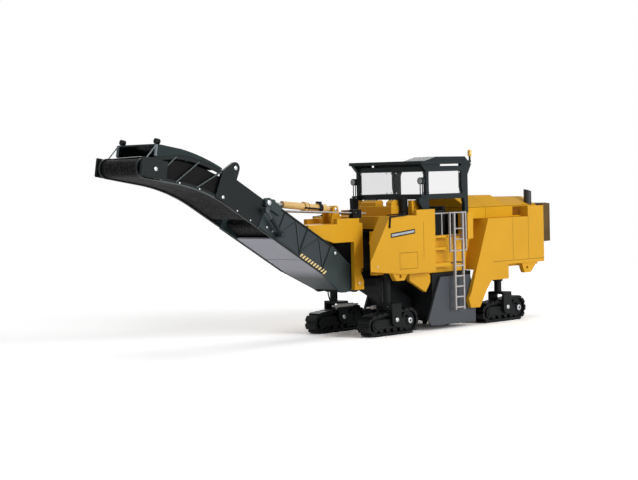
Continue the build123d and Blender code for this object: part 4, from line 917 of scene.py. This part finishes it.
skins = bmesh.new()
ribs = bmesh.new()
# Thin lighter bars along the ribs: painted highlights.
highlight_bars = bmesh.new()
for side in SIDES:
    middle = conveyor_spot(sum(SKIN_RUNS) / 2, side * WALL_FACE, WALL_MIDDLE)
    skin_size = (SKIN_RUNS[1] - SKIN_RUNS[0], 2 * WALL_SKIN, 12.4)
    plate(skins, middle, skin_size, 0.05, SLOPE_TURN)
    face = side * (WALL_FACE + WALL_SKIN)
    highlight_y = face + side * HIGHLIGHT_OUT
    for run in RIB_RUNS:
        plate(ribs, conveyor_spot(run, face, WALL_MIDDLE), (0.8, 0.7, 12.0), 0.15, SLOPE_TURN)
    for rear, front in zip(RIB_RUNS, RIB_RUNS[1:]):
        crown = ((rear + front) / 2, CROWN_RISE)
        for foot_run in (rear + RIB_HALF, front - RIB_HALF):
            wall_bar(ribs, face, (foot_run, -5.4), crown, 0.34, segments=8)
            wall_bar(highlight_bars, highlight_y, (foot_run, -5.2), crown, 0.1, segments=6)
    wall_bar(ribs, face, (27.2, 5.9), (70.0, 5.9), 0.5)
    wall_bar(ribs, face, (27.2, -8.0), (72.5, -8.0), 0.35)
    wall_bar(highlight_bars, side * (WALL_FACE + 0.05), (45.0, -8.1), (72.5, -8.1), 0.16, segments=6)
add_piece("wall_skins", skins, field_enamel, "lower_conveyor")
add_piece("wall_rib_edges", highlight_bars, highlight_enamel, "lower_conveyor")
# The ribs and braces are darker than the wall: painted shade along them.
add_piece("wall_ribs", ribs, upper_enamel, "lower_conveyor")

# %% Head plates
HEAD_TURN = Matrix.Rotation(-HEAD_SLOPE, 4, "Y")
HEAD_PLATE = (14.6, 1.1, 8.2)
head_plates = bmesh.new()
for side in SIDES:
    middle = conveyor_spot(140.0, side * (HEAD_PLATE_FACE - HEAD_PLATE[1] / 2), -3.6)
    plate(head_plates, middle, HEAD_PLATE, 0.4, HEAD_TURN)
add_piece("head_plates", head_plates, upper_enamel, "upper_conveyor")

# %% Edges of the upper conveyor's lattice
BAYS = 3
BAYS_START = 102.5
BAYS_END = 138.0
HEM_RISE = -7.9
HEM_STEPS = 6
bay_runs = [BAYS_START + (BAYS_END - BAYS_START) * share / BAYS for share in range(BAYS + 1)]


def upper_rise(run):
    """Height of the upper wall's top edge, which falls towards the head."""
    share = max(run - BEND_END, 0) / (BAYS_END - BEND_END)
    return 4.7 - 3.0 * share


# Lighter bars along the lattice and its hem: painted highlights.
lattice = bmesh.new()
for side in SIDES:
    face = side * (WALL_FACE + 0.05)
    for start, end in zip(bay_runs, bay_runs[1:]):
        top = (start + 0.5, upper_rise(start) - 0.8)
        wall_bar(lattice, face, top, (end - 0.5, -7.2), 0.3, segments=8)
    for start, end in zip(bay_runs, bay_runs[1:]):
        steps = [start + (end - start) * share / HEM_STEPS for share in range(HEM_STEPS + 1)]
        for low, high in zip(steps, steps[1:]):
            wall_bar(lattice, face, (low, HEM_RISE), (high, HEM_RISE), 0.22, segments=8)
add_piece("lattice_edges", lattice, highlight_enamel, "upper_conveyor")

# %% Mouth of the cover
JAMB_Y = 12.6
JAMB_HEAD = (138.0, 7.0)
jambs = bmesh.new()
for side in SIDES:
    wall_bar(jambs, side * JAMB_Y, (138.0, 2.2), JAMB_HEAD, 0.65, segments=8)
    wall_bar(jambs, side * JAMB_Y, JAMB_HEAD, (143.5, -0.6), 0.3, segments=8)
add_piece("cover_jambs", jambs, jamb_enamel, "upper_conveyor")

# %% [markdown]
# ## Stack, footwell and radiator
# The exhaust is a thin tube cut off at a slant. A boolean could bore it, but an inset is shorter
# and leaves a clean rim: a plane cuts a cylinder, the cut face is inset by the wall's thickness,
# and what is left inside is pushed down. A black plate on the wall behind the operators' feet is
# painted shade in the footwell, and a frame of four soft-edged bars holds the radiator.

# %% Exhaust stack
STACK_RADIUS = 2.05
STACK_LENGTH = 12.0
STACK_WALL = 0.4
STACK_BORE = 4.0
MOUTH_SLANT = Vector((-0.32, 0.1, 1)).normalized()
lip = spot(-110.3, 18.3, 66.9)
stack_middle = lip - UP * (1.5 * MM)
stack = bmesh.new()
rod(stack, stack_middle, Matrix.Identity(4), STACK_RADIUS * MM, STACK_LENGTH * MM, 32)
shave(stack, lip, MOUTH_SLANT)
mouths = [face for face in stack.faces if face.normal.z > 0.5]
bmesh.ops.inset_region(stack, faces=mouths, thickness=STACK_WALL * MM)
sunk = bmesh.ops.extrude_discrete_faces(stack, faces=mouths)["faces"]
corners = [vert for face in sunk for vert in face.verts]
bmesh.ops.translate(stack, verts=corners, vec=UP * (-STACK_BORE * MM))
exhaust_stack = add_piece("exhaust_stack", stack, exhaust_black, "chassis")
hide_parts("exhaust")

# %% Painted shade in the footwell
footwell_shade = bmesh.new()
# A black plate where the footwell is in shade: painted shade.
plate(footwell_shade, spot(-55.6, 0, 50.6), (0.5, 39.0, 12.6), 0.1)
add_piece("footwell_painted_shade", footwell_shade, black_plastic, "chassis")

# %% Radiator surround
surround = bmesh.new()
for side in SIDES:
    plate(surround, spot(-118.6, side * 23.0, 50.0), (6.4, 2.6, 20.0), 0.3)
for level in (40.6, 59.4):
    plate(surround, spot(-121.9, 0, level), (0.8, 44.0, 1.6), 0.2)
add_piece("radiator_surround", surround, brown_plastic, "chassis")

# %% [markdown]
# ## Ladders and levers
# Ladders and levers are wire and thin strip at this size. The strips are plates with soft edges,
# set from a few stations and levels, so that both sides stay alike. A lever is a chain of bars, and
# a short stud at each corner fills the wedge between two round ends. A curve with a bevel would
# bend more smoothly, but the corners are less than a millimetre across.

# %% Ladder stringers and rungs
STRINGER_Y = 25.45
RAIL_Y = 25.5
STRINGER_STATIONS = (-40.6, -47.1)
RAIL_STATIONS = (-37.2, -49.4)
RUNGS = 5
FIRST_RUNG = 10.5
RUNG_STEP = 5.15
stringers = bmesh.new()
for side in SIDES:
    for x in STRINGER_STATIONS:
        plate(stringers, spot(x, side * STRINGER_Y, 33.6), (1.0, 1.3, 48.6), 0.15)
    for x in RAIL_STATIONS:
        plate(stringers, spot(x, side * RAIL_Y, 48.0), (0.8, 1.0, 19.8), 0.12)
    for index in range(RUNGS):
        middle = spot(sum(STRINGER_STATIONS) / 2, side * RAIL_Y, FIRST_RUNG + RUNG_STEP * index)
        plate(stringers, middle, (6.2, 1.2, 0.75), 0.12)
add_piece("ladder_stringers", stringers, steel_wire, "chassis")

# %% Bent levers beside the console
LEVER_RADIUS = 0.42
ELBOW_RADIUS = 0.46
LEVER_Y = 25.45
LEVER_CORNERS = (
    (-12.4, 17.2, 58.6),
    (-4.0, LEVER_Y, 57.4),
    (6.5, LEVER_Y, 56.8),
    (7.0, LEVER_Y, 52.0),
)
levers = bmesh.new()
for side in SIDES:
    places = [spot(x, side * y, z) for x, y, z in LEVER_CORNERS]
    for start, end in zip(places, places[1:]):
        bar(levers, start, end, LEVER_RADIUS, segments=12)
    for place in places[1:]:
        stud(levers, place - UP * (0.45 * MM), UP, ELBOW_RADIUS, 0.9, segments=12)
add_piece("bent_levers", levers, black_plastic, "chassis")

# %% [markdown]
# ## Lift cylinder
# The cylinder that lifts the conveyor carries two collars, a valve block and a pressure pipe. It
# leans, so they are placed along its own line, from the pin in the bracket to the pin on the
# conveyor, and they ride on its barrel at every pose. A collar could be a plain cylinder, but then
# the barrel would run through it: a rectangle spun about the line leaves the bore open.

# %% Fittings on the lift cylinder
VALVE = 8.5
COLLARS = ((VALVE, 2.6), (17.0, 0.9))
BARREL_RADIUS = 1.6
COLLAR_RADIUS = 2.2
PIPE_RADIUS = 0.4
PIPE_CORNERS = ((VALVE, 1.8, 0.0), (VALVE, 2.6, -0.6), (19.0, 2.6, -0.6), (19.0, 1.7, -0.6))
lug = spot(LIFT_PIN[0], 0, LIFT_PIN[1])
clevis = conveyor_spot(LIFT_PIN_AHEAD[0], 0, LIFT_PIN_AHEAD[1])
stroke = (clevis - lug).normalized()
over = stroke.cross(LEFT).normalized()
over = over if over.z > 0 else -over
cylinder_turn = Matrix((stroke, LEFT, over)).transposed().to_4x4()


def cylinder_spot(distance, across, rise):
    """A place from a distance along the cylinder and two distances across it, in mm."""
    return lug + (stroke * distance + LEFT * across + over * rise) * MM


fittings = bmesh.new()
for distance, length in COLLARS:
    middle = cylinder_spot(distance, 0, 0)
    ring(fittings, middle, stroke, BARREL_RADIUS, COLLAR_RADIUS, length)
plate(fittings, cylinder_spot(VALVE, 0, 2.3), (2.4, 2.2, 1.6), 0.2, cylinder_turn)
places = [cylinder_spot(*corner) for corner in PIPE_CORNERS]
for start, end in zip(places, places[1:]):
    bar(fittings, start, end, PIPE_RADIUS)
add_piece("lift_cylinder_fittings", fittings, black_plastic, "lift_barrel")

# %% [markdown]
# ## The operators' place
# Under the canopy there are two round work lamps on thin stalks, screws in the corners of the film
# windows, and knobs on the console. They are tiny, but they give the machine its scale.

# %% Lamps and window screws
FRONT_POST = -23.8
REAR_POST = -49.8
SCREW_LEVELS = (67.6, 77.4)


def screw(form, place, direction):
    stud(form, place, direction, 0.4, 0.35, segments=10)


lenses = bmesh.new()
screws = bmesh.new()
for side in SIDES:
    stud(lenses, spot(-19.2, side * 22.2, 73.5), AHEAD, 1.35, 0.3)
    for z in SCREW_LEVELS:
        for x in (FRONT_POST - 1.6, REAR_POST + 0.9):
            screw(screws, spot(x, side * 22.4, z), LEFT * side)
        for y in (20.4, 3.2):
            screw(screws, spot(FRONT_POST + 0.2, side * y, z), AHEAD)
add_piece("work_lamp_lenses", lenses, lens_grey, "chassis")
add_piece("window_screws", screws, bright_steel, "chassis")

# %% Console knobs
KNOB_ROW = (-4.5, -2.6, -0.7, 1.2, 3.0, 11.6, 13.4)
knobs = bmesh.new()
for y in KNOB_ROW:
    stud(knobs, spot(-9.0, y, 64.5), UP, 0.5, 0.9, segments=12)
for side in SIDES:
    stud(knobs, spot(-13.5, side * 16.3, 65.5), UP, 0.8, 0.9)
add_piece("console_knobs", knobs, black_plastic, "chassis")

# %% [markdown]
# ## Vents
# The engine breathes through a row of upright slats on each side of the hood. A machine has open
# gaps there, but a casting has only raised bars, so bars on a plate are enough. Their darker amber
# is painted shade, as in a deep recess.

# %% Slats of the engine's vents
VENT_STATION = -98.0
VENT_LEVEL = 56.6
VENT_HEIGHT = 4.4
SLATS = 9
SLAT_PITCH = 0.8
slats = bmesh.new()
for side in SIDES:
    plate(slats, spot(VENT_STATION, side * 19.0, VENT_LEVEL), (7.0, 0.6, VENT_HEIGHT), 0.05)
    for index in range(SLATS):
        station = VENT_STATION + SLAT_PITCH * (index - SLATS // 2)
        plate(slats, spot(station, side * 19.5, VENT_LEVEL), (0.3, 0.7, VENT_HEIGHT), 0.04)
add_piece("vent_slats", slats, vent_amber_painted_shade, "chassis")

# %% [markdown]
# ## Floor, light and camera
# Product pictures of models stand on a white sweep that shows no horizon. Here it is a level floor
# that turns into plain white away from the machine, under a world that is white to the camera and
# dim to everything else. A large soft lamp at the side gives the enamel its form, and three weaker
# ones keep the shadows open. The camera looks along the machine from its front left, just above
# floor level.

# %% White floor
FLOOR_REACH = 6.0
FADE_START = 0.25
FADE_END = 0.75
FLOOR_TONE = 0.9
FLOOR_LIFT = 0.80


def white_from_afar(finish):
    """Mixes the floor into plain white away from the machine, so that no horizon shows."""
    bare = Sum(finish, finish.shader.outputs[0])
    white = finish.node("ShaderNodeEmission", {})
    factor = finish.away().ramp(FADE_START, FADE_END) * finish.seen()
    mixed = finish.node("ShaderNodeMixShader", {0: factor, 1: bare, 2: white})
    finish.surface("Material Output", mixed)
    return finish.material


sweep_finish = Finish("sweep_white", (FLOOR_TONE,) * 3, 0.9, specular_ior_level=0.0)
sweep_finish.paint(base_color=sweep_finish.seen() * FLOOR_LIFT + FLOOR_TONE)
sweep_form = bmesh.new()
bmesh.ops.create_grid(sweep_form, x_segments=1, y_segments=1, size=FLOOR_REACH)
sweep = place_mesh("sweep", sweep_form, white_from_afar(sweep_finish))

# %% World
WORLD_LIGHT = 0.20
WHITE = (1.0, 1.0, 1.0, 1.0)
scene = bpy.context.scene
world = bpy.data.worlds.new("studio")
scene.world = world
air = Tree(world)
dim = air.tree.nodes["Background"]
dim.inputs["Color"].default_value = WHITE
dim.inputs["Strength"].default_value = WORLD_LIGHT
bright = air.node("ShaderNodeBackground", {"Color": WHITE, "Strength": 1.0})
sockets = {0: air.seen(), 1: Sum(air, dim.outputs[0]), 2: bright}
air.surface("World Output", air.node("ShaderNodeMixShader", sockets))

# %% Lamps
AIM = Vector((0, 0, 0.04))


def lamp(name, place, size, power):
    """A square soft lamp, in metres and watts, aimed at the middle of the machine."""
    data = bpy.data.lights.new(name, "AREA")
    data.shape = "SQUARE"
    data.size = size
    data.energy = power
    rig = bpy.data.objects.new(name, data)
    rig.location = place
    rig.rotation_euler = (AIM - Vector(place)).to_track_quat("-Z", "Y").to_euler()
    scene.collection.objects.link(rig)


lamp("key", (-0.25, 1.2, 0.45), 0.7, 11.6)
lamp("top", (0.0, 0.1, 1.5), 1.2, 5.5)
lamp("fill", (1.2, 0.3, 0.4), 0.8, 0.8)
lamp("rear", (-0.7, -1.0, 0.6), 0.8, 3.0)
print("lamps:", len(bpy.data.lights))

# %% Camera
CAMERA_PLACE = Vector((576.3, 545.7, 76.2)) * MM
HEADING = 134.2
PITCH = -2.16
ROLL = -1.36
camera_data = bpy.data.cameras.new("camera")
camera_data.sensor_width = 36
camera_data.lens = 93.15
camera_data.clip_start = 0.01
camera = bpy.data.objects.new("camera", camera_data)
heading = Matrix.Rotation(math.radians(HEADING), 4, "Z")
pitch = Matrix.Rotation(math.radians(90 + PITCH), 4, "X")
roll = Matrix.Rotation(math.radians(ROLL), 4, "Z")
camera.matrix_world = Matrix.Translation(CAMERA_PLACE) @ heading @ pitch @ roll
scene.collection.objects.link(camera)
scene.camera = camera
scene.view_settings.view_transform = "Standard"
